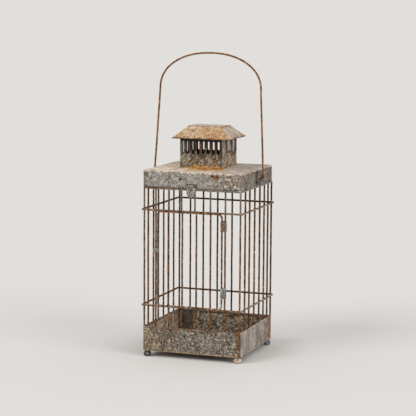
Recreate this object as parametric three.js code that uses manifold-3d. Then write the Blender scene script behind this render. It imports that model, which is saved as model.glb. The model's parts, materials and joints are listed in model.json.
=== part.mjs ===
// A square wire-cage lantern: a sheet tray on four feet carries a cage of wires, a hinged sheet lid with
// a slotted chimney and a small roof, a swinging bail, a wire door at the front and a hasp on the lid.
// Millimetres, +Z up, front towards -Y, right towards +X. The origin is the middle of the base.

import * as THREE from 'three';
import { ConvexGeometry } from 'three/addons/geometries/ConvexGeometry.js';
import { mergeVertices } from 'three/addons/utils/BufferGeometryUtils.js';
import Module from 'manifold-3d';

const wasm = await Module();
wasm.setup();

// Fits
const SEAT_GAP = 0.3;
const RUNNING_GAP = 0.3;
const WELD = 1e-3;
const CUT_PAST = 1;

// Tray and feet
const WIDTH = 205;
const DEPTH = 200;
const TRAY_HEIGHT = 49.6;
const TRAY_CORNER = 4;
const TRAY_SHEET = 0.9;
const HEM_DIAMETER = 3.8;
const HEM_PROUD = 0.6;
const FOOT_HEIGHT = 12;
const FOOT_DIAMETER = 15.5;
const FOOT_NECK_DIAMETER = 10;
const FOOT_TOE_DIAMETER = 9;
const FOOT_BELLY_LOW = 4.6;
const FOOT_BELLY_HIGH = 6.6;
const FOOT_INSET = 8;

// Cage wires, numbered from the left and from the front; each side's spacing wanders as hand work does
const WIRE_DIAMETER = 3.6;
const WIRE_INSET = 3.1;
const WIRES_PER_SIDE = 8;
const FRONT_DRIFT = [-4.1, -5.1, -7.3, -8, -4.5, -2.3];
const BACK_DRIFT = [-4.3, -4.3, -1.6, 1.4, 1.7, 4];
const RIGHT_DRIFT = [1.5, 0.5, 4.2, 7.7, 8.5, 5];
const LEFT_DRIFT = [-7.3, -7, -8.3, -7.3, -6.9, -5.7];

// Rings round the cage, and the rim wire that lies on the wires' ends
const RING_DIAMETER = 3.8;
const LOWER_RING_RISE = 42.4;
const RING_SPACING = 189.8;
const RIM_RISE = 42.7;
const RIM_OVERHANG = 1;
const RIM_CORNER = 4;

// Lid, as wide and deep as the tray, which sits a little to the left of the cage
const LID_SHIFT = -2;
const LID_FRONT_CORNER = 13;
const LID_BACK_CORNER = 6;
const LID_SKIRT = 30.6;
const LID_SHEET = 0.9;
const LID_CROWN = 2.6;
const LID_CROWN_MIDWAY = 0.7;
const LID_LEDGE = 1.3;

// Chimney and roof, with their shifts from the lid's middle
const CHIMNEY_WIDTH = 87;
const CHIMNEY_DEPTH = 94;
const CHIMNEY_SIDE_SHIFT = -0.5;
const CHIMNEY_BACK_SHIFT = 3;
const CHIMNEY_CORNER = 2;
const CHIMNEY_SHEET = 0.9;
const CHIMNEY_SEAT = 5;
const CHIMNEY_HEAD = 6;
const FLUE_LEDGE = 8;
const SLOTS_PER_SIDE = 8;
const SLOT_PITCH = 10.5;
const SLOT_WIDTH = 5.2;
const SLOT_SILL = 27.6;
const SEAM_SLOTS = 1;
const ROOF_SHEET = 0.9;
const EAVE_RISE = 57.6;
const ROOF_SHIFT = 1.5;
const EAVE_WIDTH = 119;
const EAVE_DEPTH = 105;
const EAVE_EDGE = 1.2;
const ROOF_RISE = 24.1;
const ROOF_TOP_WIDTH = 70;
const ROOF_TOP_DEPTH = 49;
const ROOF_CORNER = 1;

// Bail and its ears
const BAIL_DIAMETER = 3.9;
const BAIL_SHOULDER = 211;
const BAIL_LEG = 172;
const BAIL_CROWN = 71.4;
const BAIL_FULLNESS = 2.15;
const BAIL_SKEW = 3;
const BAIL_BEND = 2.4;
const BAIL_HOOK = 5;
const BAIL_SIDE_GAP = 0.5;
const EAR_RISE = 15.3;
const EAR_REACH = 9.8;
const EAR_WIDTH = 11;
const EAR_SHEET = 1;
const EAR_BULGE = 6.3;
const EAR_FLAT = 3.2;
const EAR_TAB = 4;

// Lid hinges at the back
const LID_HINGE_PLACE = 60;
const LID_HINGE_WIDTH = 14;
const LID_HINGE_SHEET = 0.9;
const LID_HINGE_PLATE = 17;
const LID_HINGE_JOG = 3;
const LID_HINGE_LOW = 2.8;

// Hasp on the lid's front
const HASP_PLACE = 1.5;
const HASP_WIDTH = 25.4;
const HASP_PLATE_HEIGHT = 7.4;
const HASP_SHEET = 0.8;
const HASP_RISE = 5.6;
const HASP_PIN_DIAMETER = 1.4;
const HASP_KNUCKLE_WALL = 0.7;
const HASP_KNUCKLE_BITE = 0.2;
const FLAP_SHEET = 1;
const FLAP_NECK = 10.4;
const FLAP_WIDTH = 19.4;
const FLAP_LENGTH = 23.2;
const FLAP_SIDE = 6;
const FLAP_CHAMFER = 1.5;
const FLAP_HOLE_DROP = 9.2;
const FLAP_HOLE_WIDTH = 6;
const FLAP_HOLE_HEIGHT = 4.4;

// Door in front of the rings
const DOOR_WIRE_DIAMETER = 3.6;
const DOOR_CORNER = 8;
const DOOR_LEFT_OFFSET = 6;
const DOOR_RIGHT_OFFSET = 4;
const DOOR_ABOVE_RING = 2;
const DOOR_BELOW_RING = 1.4;
const DOOR_BARS = 4;
const DOOR_BAR_PITCH = 29.1;
const STRAP_SHEET = 0.9;
const STRAP_HEIGHT = 21;
const STRAP_CUT = 4;
const UPPER_STRAP_DROP = 24.6;
const LOWER_STRAP_RISE = 34;
const CATCH_HEIGHT = 7.7;
const CATCH_RISE = 111.4;
const CATCH_REACH = 2.5;

// Fineness of the curves
const WIRE_SIDES = 10;
const CORNER_STEPS = 6;
const BEND_STEPS = 4;
const CROWN_STEPS = 24;
const ROUND_STEPS = 16;

// Places that follow from the sizes above
const wireRadius = WIRE_DIAMETER / 2;
const ringRadius = RING_DIAMETER / 2;
const hemRadius = HEM_DIAMETER / 2;
const bailRadius = BAIL_DIAMETER / 2;
const doorRadius = DOOR_WIRE_DIAMETER / 2;
const trayTop = FOOT_HEIGHT + TRAY_HEIGHT;
const wireX = WIDTH / 2 - WIRE_INSET;
const wireY = DEPTH / 2 - WIRE_INSET;
const ringOut = wireRadius + SEAT_GAP + ringRadius;
const ringX = wireX + ringOut;
const ringY = wireY + ringOut;
const ringCorner = ringOut;
const lowerRingZ = trayTop + LOWER_RING_RISE;
const upperRingZ = lowerRingZ + RING_SPACING;
const rimZ = upperRingZ + RIM_RISE;
const rimX = wireX + RIM_OVERHANG;
const rimY = wireY + RIM_OVERHANG;
const wireBottom = trayTop + SEAT_GAP;
const wireTop = rimZ - ringRadius - SEAT_GAP;
const lidX = WIDTH / 2;
const lidY = DEPTH / 2;
const lidBottom = rimZ + ringRadius + SEAT_GAP;
const bandTop = lidBottom + LID_SKIRT;
const lidSeat = bandTop + LID_SHEET + LID_CROWN;
const eaveZ = lidSeat + EAVE_RISE;
const roofTop = eaveZ + ROOF_RISE;
const pivotZ = lidBottom + EAR_RISE;
const doorY = -(ringY + ringRadius + SEAT_GAP + doorRadius);
const doorBottom = lowerRingZ + DOOR_ABOVE_RING;
const doorTop = upperRingZ - DOOR_BELOW_RING;

// Looks, in plain colours
const galvanised = { color: 0x9a938a, roughness: 0.62, metalness: 0.55 };
const warmSheet = { color: 0xb59a7c, roughness: 0.7, metalness: 0.4 };
const rustySheet = { color: 0xa07850, roughness: 0.8, metalness: 0.3 };
const rustyWire = { color: 0x6f4b2f, roughness: 0.75, metalness: 0.45 };
const agedZinc = { color: 0x7f7a72, roughness: 0.55, metalness: 0.6 };

const lantern = new THREE.Group();
const lid = new THREE.Group();
lid.position.x = LID_SHIFT;
lantern.add(lid);

function addPiece(name, geometry, look, parent = lantern) {
  const mesh = new THREE.Mesh(geometry, new THREE.MeshStandardMaterial(look));
  mesh.name = name;
  parent.add(mesh);
  return mesh;
}

// Joining and cutting

function toSolid(geometry) {
  const bare = geometry.clone();
  bare.deleteAttribute('normal');
  bare.deleteAttribute('uv');
  const merged = mergeVertices(bare, WELD);
  const mesh = new wasm.Mesh({
    numProp: 3,
    vertProperties: new Float32Array(merged.attributes.position.array),
    triVerts: new Uint32Array(merged.index.array),
  });
  return new wasm.Manifold(mesh);
}

function toGeometry(solid) {
  const mesh = solid.getMesh();
  const geometry = new THREE.BufferGeometry();
  geometry.setAttribute('position', new THREE.BufferAttribute(mesh.vertProperties, 3));
  geometry.setIndex(new THREE.BufferAttribute(mesh.triVerts, 1));
  return geometry;
}

function joined(...geometries) {
  return toGeometry(geometries.map(toSolid).reduce((whole, piece) => whole.add(piece)));
}

function cut(geometry, ...tools) {
  return toGeometry(tools.map(toSolid).reduce((whole, tool) => whole.subtract(tool), toSolid(geometry)));
}

function shared(first, second) {
  return toGeometry(toSolid(first).intersect(toSolid(second)));
}

// Outlines

function arcPoints(x, y, radius, startDegrees, endDegrees, steps) {
  return Array.from({ length: steps + 1 }, (_, i) => {
    const angle = THREE.MathUtils.degToRad(startDegrees + ((endDegrees - startDegrees) * i) / steps);
    return new THREE.Vector2(x + radius * Math.cos(angle), y + radius * Math.sin(angle));
  });
}

function roundedOutline(halfX, halfY, corner, backCorner = corner) {
  const rounded = (sideX, sideY, radius, start) =>
    arcPoints(sideX * (halfX - radius), sideY * (halfY - radius), radius, start, start + 90, CORNER_STEPS);
  return [
    ...rounded(1, -1, corner, -90),
    ...rounded(1, 1, backCorner, 0),
    ...rounded(-1, 1, backCorner, 90),
    ...rounded(-1, -1, corner, 180),
  ];
}

// The outline halfway between two that have as many points as each other.
function halfwayOutline(first, second) {
  return first.map((point, i) => point.clone().lerp(second[i], 0.5));
}

function stadiumOutline(from, to, radius) {
  const heading = THREE.MathUtils.radToDeg(to.clone().sub(from).angle());
  return [
    ...arcPoints(to.x, to.y, radius, heading - 90, heading + 90, CORNER_STEPS),
    ...arcPoints(from.x, from.y, radius, heading + 90, heading + 270, CORNER_STEPS),
  ];
}

// Moves each point of an open line sideways, to its left, and mitres the corners.
function offsetLine(points, distance) {
  return points.map((point, i) => {
    const back = points[Math.max(i - 1, 0)];
    const ahead = points[Math.min(i + 1, points.length - 1)];
    const arriving = (i > 0 ? point.clone().sub(back) : ahead.clone().sub(point)).normalize();
    const leaving = (i < points.length - 1 ? ahead.clone().sub(point) : arriving.clone()).normalize();
    const middle = arriving.clone().add(leaving).normalize();
    const left = new THREE.Vector2(-middle.y, middle.x);
    return point.clone().addScaledVector(left, distance / middle.dot(arriving));
  });
}

// Solids

function extruded(outline, depth, holes = []) {
  const shape = new THREE.Shape(outline);
  shape.holes = holes.map((hole) => new THREE.Path(hole));
  return new THREE.ExtrudeGeometry(shape, { depth, bevelEnabled: false });
}

// Sheet bent along a line and as wide as given, centred on its width.
function bentSheet(line, sheet, width) {
  const outline = [...line, ...offsetLine(line, sheet).reverse()];
  return extruded(outline, width).translate(0, 0, -width / 2);
}

// Stands an outline drawn in X and Y up into X and Z, its thickness growing towards the front.
function stood(geometry) {
  return geometry.rotateX(Math.PI / 2);
}

// Stands an outline drawn in X and Y up into Y and Z, its thickness growing to the right.
function stoodSideways(geometry) {
  const toSide = new THREE.Matrix4().makeBasis(
    new THREE.Vector3(0, 1, 0),
    new THREE.Vector3(0, 0, 1),
    new THREE.Vector3(1, 0, 0),
  );
  return geometry.applyMatrix4(toSide);
}

// The solid that fits tightly round outlines at the heights given.
function convex(...levels) {
  const points = levels.flatMap(({ outline, z }) =>
    outline.map((point) => new THREE.Vector3(point.x, point.y, z)));
  return new ConvexGeometry(points);
}

// A wire's centre line, which is met exactly at each of its points.
class WireLine extends THREE.Curve {
  constructor(points, closed = false) {
    super();
    this.points = closed ? [...points, points[0]] : points;
    this.closed = closed;
    this.spans = this.points.length - 1;
  }

  getPoint(t, target = new THREE.Vector3()) {
    return target.copy(this.points[Math.round(t * this.spans)]);
  }

  getPointAt(u, target) {
    return this.getPoint(u, target);
  }

  getTangentAt(u, target = new THREE.Vector3()) {
    const here = Math.round(u * this.spans);
    const point = this.points[here];
    const back = here > 0 ? this.points[here - 1] : this.closed && this.points[this.spans - 1];
    const ahead = here < this.spans ? this.points[here + 1] : this.closed && this.points[1];
    const arriving = (back ? point.clone().sub(back) : ahead.clone().sub(point)).normalize();
    const leaving = (ahead ? ahead.clone().sub(point) : arriving.clone()).normalize();
    return target.copy(arriving.add(leaving).normalize());
  }
}

function closedWire(outline, radius) {
  const line = new WireLine(outline.map((point) => new THREE.Vector3(point.x, point.y, 0)), true);
  return new THREE.TubeGeometry(line, line.spans, radius, WIRE_SIDES, true);
}

function openWire(points, radius) {
  const line = new WireLine(points);
  const section = new THREE.Shape(arcPoints(0, 0, radius, 0, 360, WIRE_SIDES).slice(0, -1));
  return new THREE.ExtrudeGeometry(section, { steps: line.spans, extrudePath: line, bevelEnabled: false });
}

function addUprightWire(name, x, y, bottom, top, diameter = WIRE_DIAMETER, parent = lantern) {
  const geometry = new THREE.CylinderGeometry(diameter / 2, diameter / 2, top - bottom, WIRE_SIDES);
  const wire = addPiece(name, geometry, rustyWire, parent);
  wire.rotation.x = Math.PI / 2;
  wire.position.set(x, y, (bottom + top) / 2);
  return wire;
}

// Tray and feet

function trayOutline(inset) {
  return roundedOutline(WIDTH / 2 - inset, DEPTH / 2 - inset, TRAY_CORNER - inset);
}

function addTray() {
  const shell = extruded(trayOutline(HEM_PROUD), TRAY_HEIGHT - hemRadius);
  const hollow = extruded(trayOutline(HEM_PROUD + TRAY_SHEET), TRAY_HEIGHT).translate(0, 0, TRAY_SHEET);
  const hem = closedWire(trayOutline(hemRadius), hemRadius).translate(0, 0, TRAY_HEIGHT - hemRadius);
  addPiece('tray', joined(cut(shell, hollow), hem), galvanised).position.z = FOOT_HEIGHT;
}

function addFeet() {
  const toe = FOOT_TOE_DIAMETER / 2;
  const neck = FOOT_NECK_DIAMETER / 2;
  const belly = FOOT_DIAMETER / 2;
  const profile = [
    new THREE.Vector2(0, 0),
    new THREE.Vector2(toe, 0),
    new THREE.Vector2((toe + 2 * belly) / 3, FOOT_BELLY_LOW / 3),
    new THREE.Vector2(belly, FOOT_BELLY_LOW),
    new THREE.Vector2(belly, FOOT_BELLY_HIGH),
    new THREE.Vector2((neck + 2 * belly) / 3, (FOOT_HEIGHT + FOOT_BELLY_HIGH) / 2),
    new THREE.Vector2(neck, FOOT_HEIGHT),
    new THREE.Vector2(0, FOOT_HEIGHT),
  ];
  const x = WIDTH / 2 - FOOT_INSET;
  const y = DEPTH / 2 - FOOT_INSET;
  const places = {
    foot_front_left: [-x, -y],
    foot_front_right: [x, -y],
    foot_rear_left: [-x, y],
    foot_rear_right: [x, y],
  };
  for (const [name, [footX, footY]] of Object.entries(places)) {
    const foot = addPiece(name, new THREE.LatheGeometry(profile, ROUND_STEPS), rustySheet);
    foot.rotation.x = Math.PI / 2;
    foot.position.set(footX, footY, 0);
  }
}

// Cage

// The place of wire 1 to WIRES_PER_SIDE along a side, between two corner wires.
function wirePlace(number, cornerPlace, drift) {
  const pitch = (2 * cornerPlace) / (WIRES_PER_SIDE - 1);
  return -cornerPlace + (number - 1) * pitch + (drift[number - 2] ?? 0);
}

function frontWire(number) {
  return wirePlace(number, wireX, FRONT_DRIFT);
}

function innerWires() {
  return Array.from({ length: WIRES_PER_SIDE - 2 }, (_, i) => i + 2);
}

function addCornerWires() {
  addUprightWire('corner_wire_front_left', -wireX, -wireY, wireBottom, wireTop);
  addUprightWire('corner_wire_front_right', wireX, -wireY, wireBottom, wireTop);
  addUprightWire('corner_wire_rear_left', -wireX, wireY, wireBottom, wireTop);
  addUprightWire('corner_wire_rear_right', wireX, wireY, wireBottom, wireTop);
}

function addSideWires() {
  for (const number of innerWires()) {
    const left = wirePlace(number, wireY, LEFT_DRIFT);
    const right = wirePlace(number, wireY, RIGHT_DRIFT);
    const back = wirePlace(number, wireX, BACK_DRIFT);
    addUprightWire(`left_wire_${number}`, -wireX, left, wireBottom, wireTop);
    addUprightWire(`right_wire_${number}`, wireX, right, wireBottom, wireTop);
    addUprightWire(`back_wire_${number}`, back, wireY, wireBottom, wireTop);
  }
}

// The wires beside the doorway run full height; the others stop at the rings, above and below it.
function addFrontWires() {
  const besideLeft = 2;
  const besideRight = WIRES_PER_SIDE - 1;
  for (const number of innerWires()) {
    const x = frontWire(number);
    if (number === besideLeft || number === besideRight) {
      addUprightWire(`front_wire_${number}`, x, -wireY, wireBottom, wireTop);
    } else {
      addUprightWire(`front_upper_wire_${number}`, x, -wireY, upperRingZ - ringRadius, wireTop);
      addUprightWire(`front_lower_wire_${number}`, x, -wireY, wireBottom, lowerRingZ + ringRadius);
    }
  }
}

function addRings() {
  const round = () => closedWire(roundedOutline(ringX, ringY, ringCorner), ringRadius);
  addPiece('lower_ring', round(), rustyWire).position.z = lowerRingZ;
  addPiece('upper_ring', round(), rustyWire).position.z = upperRingZ;
  const rim = closedWire(roundedOutline(rimX, rimY, RIM_CORNER), ringRadius);
  addPiece('rim_wire', rim, rustyWire).position.z = rimZ;
}

// Lid

function lidOutline(inset) {
  return roundedOutline(lidX - inset, lidY - inset, LID_FRONT_CORNER - inset, LID_BACK_CORNER - inset);
}

// An outline round the chimney's middle, wider than the chimney by the outset on each side.
function chimneyOutline(outset, corner) {
  const shift = new THREE.Vector2(CHIMNEY_SIDE_SHIFT, CHIMNEY_BACK_SHIFT);
  return roundedOutline(CHIMNEY_WIDTH / 2 + outset, CHIMNEY_DEPTH / 2 + outset, corner)
    .map((point) => point.add(shift));
}

function addLidBand() {
  const band = extruded(lidOutline(0), LID_SKIRT, [lidOutline(LID_SHEET)]);
  addPiece('lid_band', band, galvanised, lid).position.z = lidBottom;
}

// A plate that rises in a low crown to a flat seat under the chimney, with the flue's hole in the seat.
function addLidTop() {
  const seat = chimneyOutline(CHIMNEY_SEAT, CHIMNEY_CORNER);
  const dome = (inset, base) => [
    { outline: lidOutline(inset), z: base },
    { outline: halfwayOutline(lidOutline(inset), seat), z: base + LID_CROWN_MIDWAY * LID_CROWN },
    { outline: seat, z: base + LID_CROWN },
  ];
  const outside = convex({ outline: lidOutline(0), z: bandTop }, ...dome(0, bandTop + LID_SHEET));
  const inside = convex(
    { outline: lidOutline(LID_LEDGE), z: bandTop - CUT_PAST },
    ...dome(LID_LEDGE, bandTop),
  );
  const flue = extruded(chimneyOutline(-FLUE_LEDGE, CHIMNEY_CORNER), 2 * (lidSeat - bandTop))
    .translate(0, 0, bandTop);
  addPiece('lid_top', cut(outside, inside, flue), warmSheet, lid);
}

// Roof

function roofInside() {
  return {
    low: { halfX: EAVE_WIDTH / 2 - ROOF_SHEET, halfY: EAVE_DEPTH / 2 - ROOF_SHEET, z: eaveZ + EAVE_EDGE / 4 },
    high: { halfX: ROOF_TOP_WIDTH / 2, halfY: ROOF_TOP_DEPTH / 2, z: roofTop - ROOF_SHEET },
  };
}

function addRoof() {
  const { low, high } = roofInside();
  const eave = roundedOutline(EAVE_WIDTH / 2, EAVE_DEPTH / 2, ROOF_CORNER);
  const top = roundedOutline(ROOF_TOP_WIDTH / 2, ROOF_TOP_DEPTH / 2, ROOF_CORNER);
  const innerEave = roundedOutline(low.halfX, low.halfY, ROOF_CORNER);
  const outside = convex(
    { outline: eave, z: eaveZ },
    { outline: eave, z: eaveZ + EAVE_EDGE },
    { outline: top, z: roofTop },
  );
  const inside = convex(
    { outline: innerEave, z: eaveZ - CUT_PAST },
    { outline: innerEave, z: low.z },
    { outline: top, z: high.z },
  );
  addPiece('roof', cut(outside, inside), rustySheet, lid).position.x = ROOF_SHIFT;
}

// The height at which a wall this far out meets the roof: inside on the slope, or else at the eave.
function undersideHeight(reach, lowHalf, highHalf, low, high) {
  const inward = lowHalf - reach;
  return inward > 0 ? low.z + (inward / (lowHalf - highHalf)) * (high.z - low.z) : eaveZ;
}

// Chimney

// The chimney ends where the first of its walls, the left one or the rear one, meets the roof.
function chimneyTop() {
  const { low, high } = roofInside();
  const leftReach = CHIMNEY_WIDTH / 2 + ROOF_SHIFT - CHIMNEY_SIDE_SHIFT;
  const rearReach = CHIMNEY_DEPTH / 2 + CHIMNEY_BACK_SHIFT;
  const atLeft = undersideHeight(leftReach, low.halfX, high.halfX, low, high);
  const atRear = undersideHeight(rearReach, low.halfY, high.halfY, low, high);
  return Math.min(atLeft, atRear) - SEAT_GAP;
}

// A round-footed slot, cut right through both walls that face each other.
function slotCutter(place, sill, head, through) {
  const half = SLOT_WIDTH / 2;
  const outline = [
    ...arcPoints(place, sill + half, half, 180, 360, CORNER_STEPS),
    new THREE.Vector2(place + half, head),
    new THREE.Vector2(place - half, head),
  ];
  return extruded(outline, through).translate(0, 0, -through / 2);
}

// The right wall lacks the slots at its front end, where the ends of the sheet lap.
function addChimney() {
  const top = chimneyTop();
  const inner = chimneyOutline(-CHIMNEY_SHEET, CHIMNEY_CORNER - CHIMNEY_SHEET);
  const tube = extruded(chimneyOutline(0, CHIMNEY_CORNER), top - lidSeat, [inner]).translate(0, 0, lidSeat);
  const sill = lidSeat + SLOT_SILL;
  const head = top - CHIMNEY_HEAD;
  const through = 2 * CHIMNEY_DEPTH;
  const cutters = [];
  for (let i = 0; i < SLOTS_PER_SIDE; i += 1) {
    const place = (i - (SLOTS_PER_SIDE - 1) / 2) * SLOT_PITCH;
    const toLeft = i < SEAM_SLOTS ? CHIMNEY_WIDTH : 0;
    cutters.push(stood(slotCutter(place, sill, head, through)));
    cutters.push(stoodSideways(slotCutter(place, sill, head, through)).translate(-toLeft, 0, 0));
  }
  cutters.forEach((cutter) => cutter.translate(CHIMNEY_SIDE_SHIFT, CHIMNEY_BACK_SHIFT, 0));
  addPiece('chimney', cut(tube, ...cutters), galvanised, lid);
}

// Ears: straps on the lid's sides that bulge out round the bail's hooked ends

function addEar(name, side) {
  const wall = EAR_REACH - EAR_SHEET;
  const bulge = Array.from({ length: CORNER_STEPS + 1 }, (_, i) => {
    const angle = ((Math.PI / 2) * i) / CORNER_STEPS;
    return new THREE.Vector2(wall * Math.sin(angle), EAR_FLAT + EAR_BULGE * Math.cos(angle));
  });
  const lower = bulge.map((point) => new THREE.Vector2(point.x, -point.y));
  const tabEnd = EAR_FLAT + EAR_BULGE + EAR_TAB;
  const line = [
    new THREE.Vector2(0, tabEnd),
    ...bulge,
    ...lower.reverse(),
    new THREE.Vector2(0, -tabEnd),
  ];
  const strap = stood(bentSheet(line, EAR_SHEET, EAR_WIDTH));
  const hole = new THREE.CylinderGeometry(
    bailRadius + RUNNING_GAP,
    bailRadius + RUNNING_GAP,
    EAR_REACH,
    ROUND_STEPS,
  ).rotateZ(Math.PI / 2).translate(EAR_REACH, 0, 0);
  const ear = addPiece(name, cut(strap, hole), agedZinc, lid);
  ear.position.set(side * lidX, 0, pivotZ);
  ear.rotation.z = side > 0 ? 0 : Math.PI;
}

// Bail

function bailHalf() {
  const hookX = lidX + (EAR_REACH - EAR_SHEET) / 2;
  const footX = lidX + EAR_REACH + BAIL_SIDE_GAP + bailRadius;
  const hook = [
    new THREE.Vector2(hookX, -BAIL_HOOK),
    ...arcPoints(hookX + BAIL_BEND, -BAIL_BEND, BAIL_BEND, 180, 90, BEND_STEPS),
  ];
  const foot = arcPoints(footX - BAIL_BEND, BAIL_BEND, BAIL_BEND, -90, 0, BEND_STEPS);
  const power = 2 / BAIL_FULLNESS;
  const crown = Array.from({ length: CROWN_STEPS / 2 }, (_, i) => {
    const angle = (Math.PI * i) / CROWN_STEPS;
    const across = (BAIL_SHOULDER / 2) * Math.cos(angle) ** power;
    return new THREE.Vector2(across, BAIL_LEG + BAIL_CROWN * Math.sin(angle) ** power);
  });
  return [...hook, ...foot, ...crown];
}

function addBail() {
  const height = BAIL_LEG + BAIL_CROWN;
  const lean = (z) => BAIL_SKEW * THREE.MathUtils.clamp(z / BAIL_LEG, 0, 1);
  const skewed = (x, z) => new THREE.Vector3(x + lean(z), 0, z);
  const right = bailHalf().map((point) => skewed(point.x, point.y));
  const left = bailHalf().map((point) => skewed(-point.x, point.y));
  const points = [...right, skewed(0, height), ...left.reverse()];
  addPiece('bail', openWire(points, bailRadius), rustyWire, lid).position.z = pivotZ;
}

// Lid hinges: plates on the lid's back that curl under the rim wire

function addLidHinge(name, x) {
  const bore = ringRadius + RUNNING_GAP;
  const jogTop = lidBottom + LID_HINGE_LOW + LID_HINGE_JOG;
  const line = [
    new THREE.Vector2(lidY, jogTop + LID_HINGE_PLATE),
    new THREE.Vector2(lidY, jogTop),
    new THREE.Vector2(rimY + bore, jogTop - LID_HINGE_JOG),
    ...arcPoints(rimY, rimZ, bore, 0, -180, 2 * CORNER_STEPS),
  ];
  const strap = stoodSideways(bentSheet(line, LID_HINGE_SHEET, LID_HINGE_WIDTH));
  addPiece(name, strap, agedZinc, lid).position.x = x;
}

// Hasp

const haspBore = HASP_PIN_DIAMETER / 2 + RUNNING_GAP;
const flapKnuckle = haspBore + HASP_KNUCKLE_WALL;
const plateKnuckle = flapKnuckle + RUNNING_GAP + HASP_KNUCKLE_BITE;
const haspAxisY = -(lidY + HASP_SHEET + RUNNING_GAP + flapKnuckle);
const hasp = new THREE.Group();
hasp.position.set(HASP_PLACE, haspAxisY, lidBottom + HASP_RISE);
lid.add(hasp);

function rodAlongX(radius, length) {
  return new THREE.CylinderGeometry(radius, radius, length, ROUND_STEPS).rotateZ(Math.PI / 2);
}

function addHaspPlate() {
  const toPlate = haspAxisY + lidY;
  const plate = stood(extruded(
    roundedOutline(HASP_WIDTH / 2, HASP_PLATE_HEIGHT / 2, HASP_PLATE_HEIGHT / 2 - WELD),
    HASP_SHEET,
  )).translate(0, -toPlate, 0);
  const knuckleLength = (HASP_WIDTH - HASP_PLATE_HEIGHT / 2 - FLAP_NECK) / 2 - RUNNING_GAP;
  const knuckleX = FLAP_NECK / 2 + RUNNING_GAP + knuckleLength / 2;
  const knuckleAt = (x) => rodAlongX(plateKnuckle, knuckleLength).translate(x, 0, 0);
  const knuckles = [-knuckleX, knuckleX].map(knuckleAt);
  const bore = rodAlongX(haspBore, 2 * HASP_WIDTH);
  addPiece('hasp_plate', cut(joined(plate, ...knuckles), bore), agedZinc, hasp);
}

function addHaspPin() {
  addPiece('hasp_pin', rodAlongX(HASP_PIN_DIAMETER / 2, HASP_WIDTH - HASP_PLATE_HEIGHT / 2), agedZinc, hasp);
}

function flapOutline() {
  const neck = FLAP_NECK / 2;
  const shoulder = -(plateKnuckle + 2 * RUNNING_GAP);
  const half = FLAP_WIDTH / 2;
  const sideEnd = shoulder - FLAP_SIDE;
  const drop = FLAP_LENGTH + sideEnd;
  const point = (x, y) => new THREE.Vector2(x, y);
  const taper = Array.from({ length: CORNER_STEPS }, (_, i) => {
    const angle = ((Math.PI / 2) * (i + 1)) / CORNER_STEPS;
    return point(half * Math.cos(angle), sideEnd - drop * Math.sin(angle));
  });
  const right = [
    point(neck, 0),
    point(neck, shoulder),
    point(half - FLAP_CHAMFER, shoulder),
    point(half, shoulder - FLAP_CHAMFER),
    point(half, sideEnd),
    ...taper.slice(0, -1),
  ];
  const left = right.map(({ x, y }) => point(-x, y)).reverse();
  return [...right, point(0, -FLAP_LENGTH), ...left].reverse();
}

function addHaspFlap() {
  const halfWidth = FLAP_HOLE_WIDTH / 2;
  const halfHeight = FLAP_HOLE_HEIGHT / 2;
  const hole = arcPoints(0, 0, 1, 0, 360, ROUND_STEPS).slice(0, -1)
    .map(({ x, y }) => new THREE.Vector2(x * halfWidth, y * halfHeight - FLAP_HOLE_DROP));
  const sheet = stood(extruded(flapOutline(), FLAP_SHEET, [hole]).translate(0, 0, -FLAP_SHEET / 2));
  const knuckle = rodAlongX(flapKnuckle, FLAP_NECK);
  const bore = rodAlongX(haspBore, 2 * HASP_WIDTH);
  addPiece('hasp_flap', cut(joined(sheet, knuckle), bore), agedZinc, hasp);
}

// Door

const doorLeft = frontWire(2) + DOOR_LEFT_OFFSET;
const doorRight = frontWire(WIRES_PER_SIDE - 1) - DOOR_RIGHT_OFFSET;

function addDoorFrame() {
  const outline = roundedOutline((doorRight - doorLeft) / 2, (doorTop - doorBottom) / 2, DOOR_CORNER);
  const frame = addPiece('door_frame', stood(closedWire(outline, doorRadius)), rustyWire);
  frame.position.set((doorLeft + doorRight) / 2, doorY, (doorBottom + doorTop) / 2);
}

function addDoorBars() {
  const bottom = doorBottom + doorRadius + SEAT_GAP;
  const top = doorTop - doorRadius - SEAT_GAP;
  for (let i = 0; i < DOOR_BARS; i += 1) {
    const x = (doorLeft + doorRight) / 2 + (i - (DOOR_BARS - 1) / 2) * DOOR_BAR_PITCH;
    addUprightWire(`door_bar_${i + 1}`, x, doorY, bottom, top, DOOR_WIRE_DIAMETER);
  }
}

// A sheet strap wrapped round a cage wire and the door's hinge wire, which turns in it.
function addDoorStrap(name, middleZ, cutTop) {
  const cageWire = new THREE.Vector2(frontWire(WIRES_PER_SIDE - 1), -wireY);
  const hingeWire = new THREE.Vector2(doorRight, doorY);
  const bore = Math.max(wireRadius, doorRadius) + RUNNING_GAP;
  const strap = extruded(
    stadiumOutline(hingeWire, cageWire, bore + STRAP_SHEET),
    STRAP_HEIGHT,
    [stadiumOutline(hingeWire, cageWire, bore)],
  ).translate(0, 0, -STRAP_HEIGHT / 2);
  const low = -STRAP_HEIGHT;
  const high = STRAP_HEIGHT / 2;
  const left = hingeWire.x - bore - STRAP_SHEET;
  const right = cageWire.x + bore + STRAP_SHEET;
  const face = [
    new THREE.Vector2(left - CUT_PAST, low),
    new THREE.Vector2(right + CUT_PAST, low),
    new THREE.Vector2(right + CUT_PAST, high - cutTop),
    new THREE.Vector2(right - cutTop, high + CUT_PAST),
    new THREE.Vector2(left + cutTop / 2, high + CUT_PAST),
    new THREE.Vector2(left - CUT_PAST, high - cutTop / 2),
  ];
  const trimmed = cutTop > 0 ? shared(strap, stood(extruded(face, WIDTH))) : strap;
  addPiece(name, trimmed, agedZinc).position.z = middleZ;
}

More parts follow.
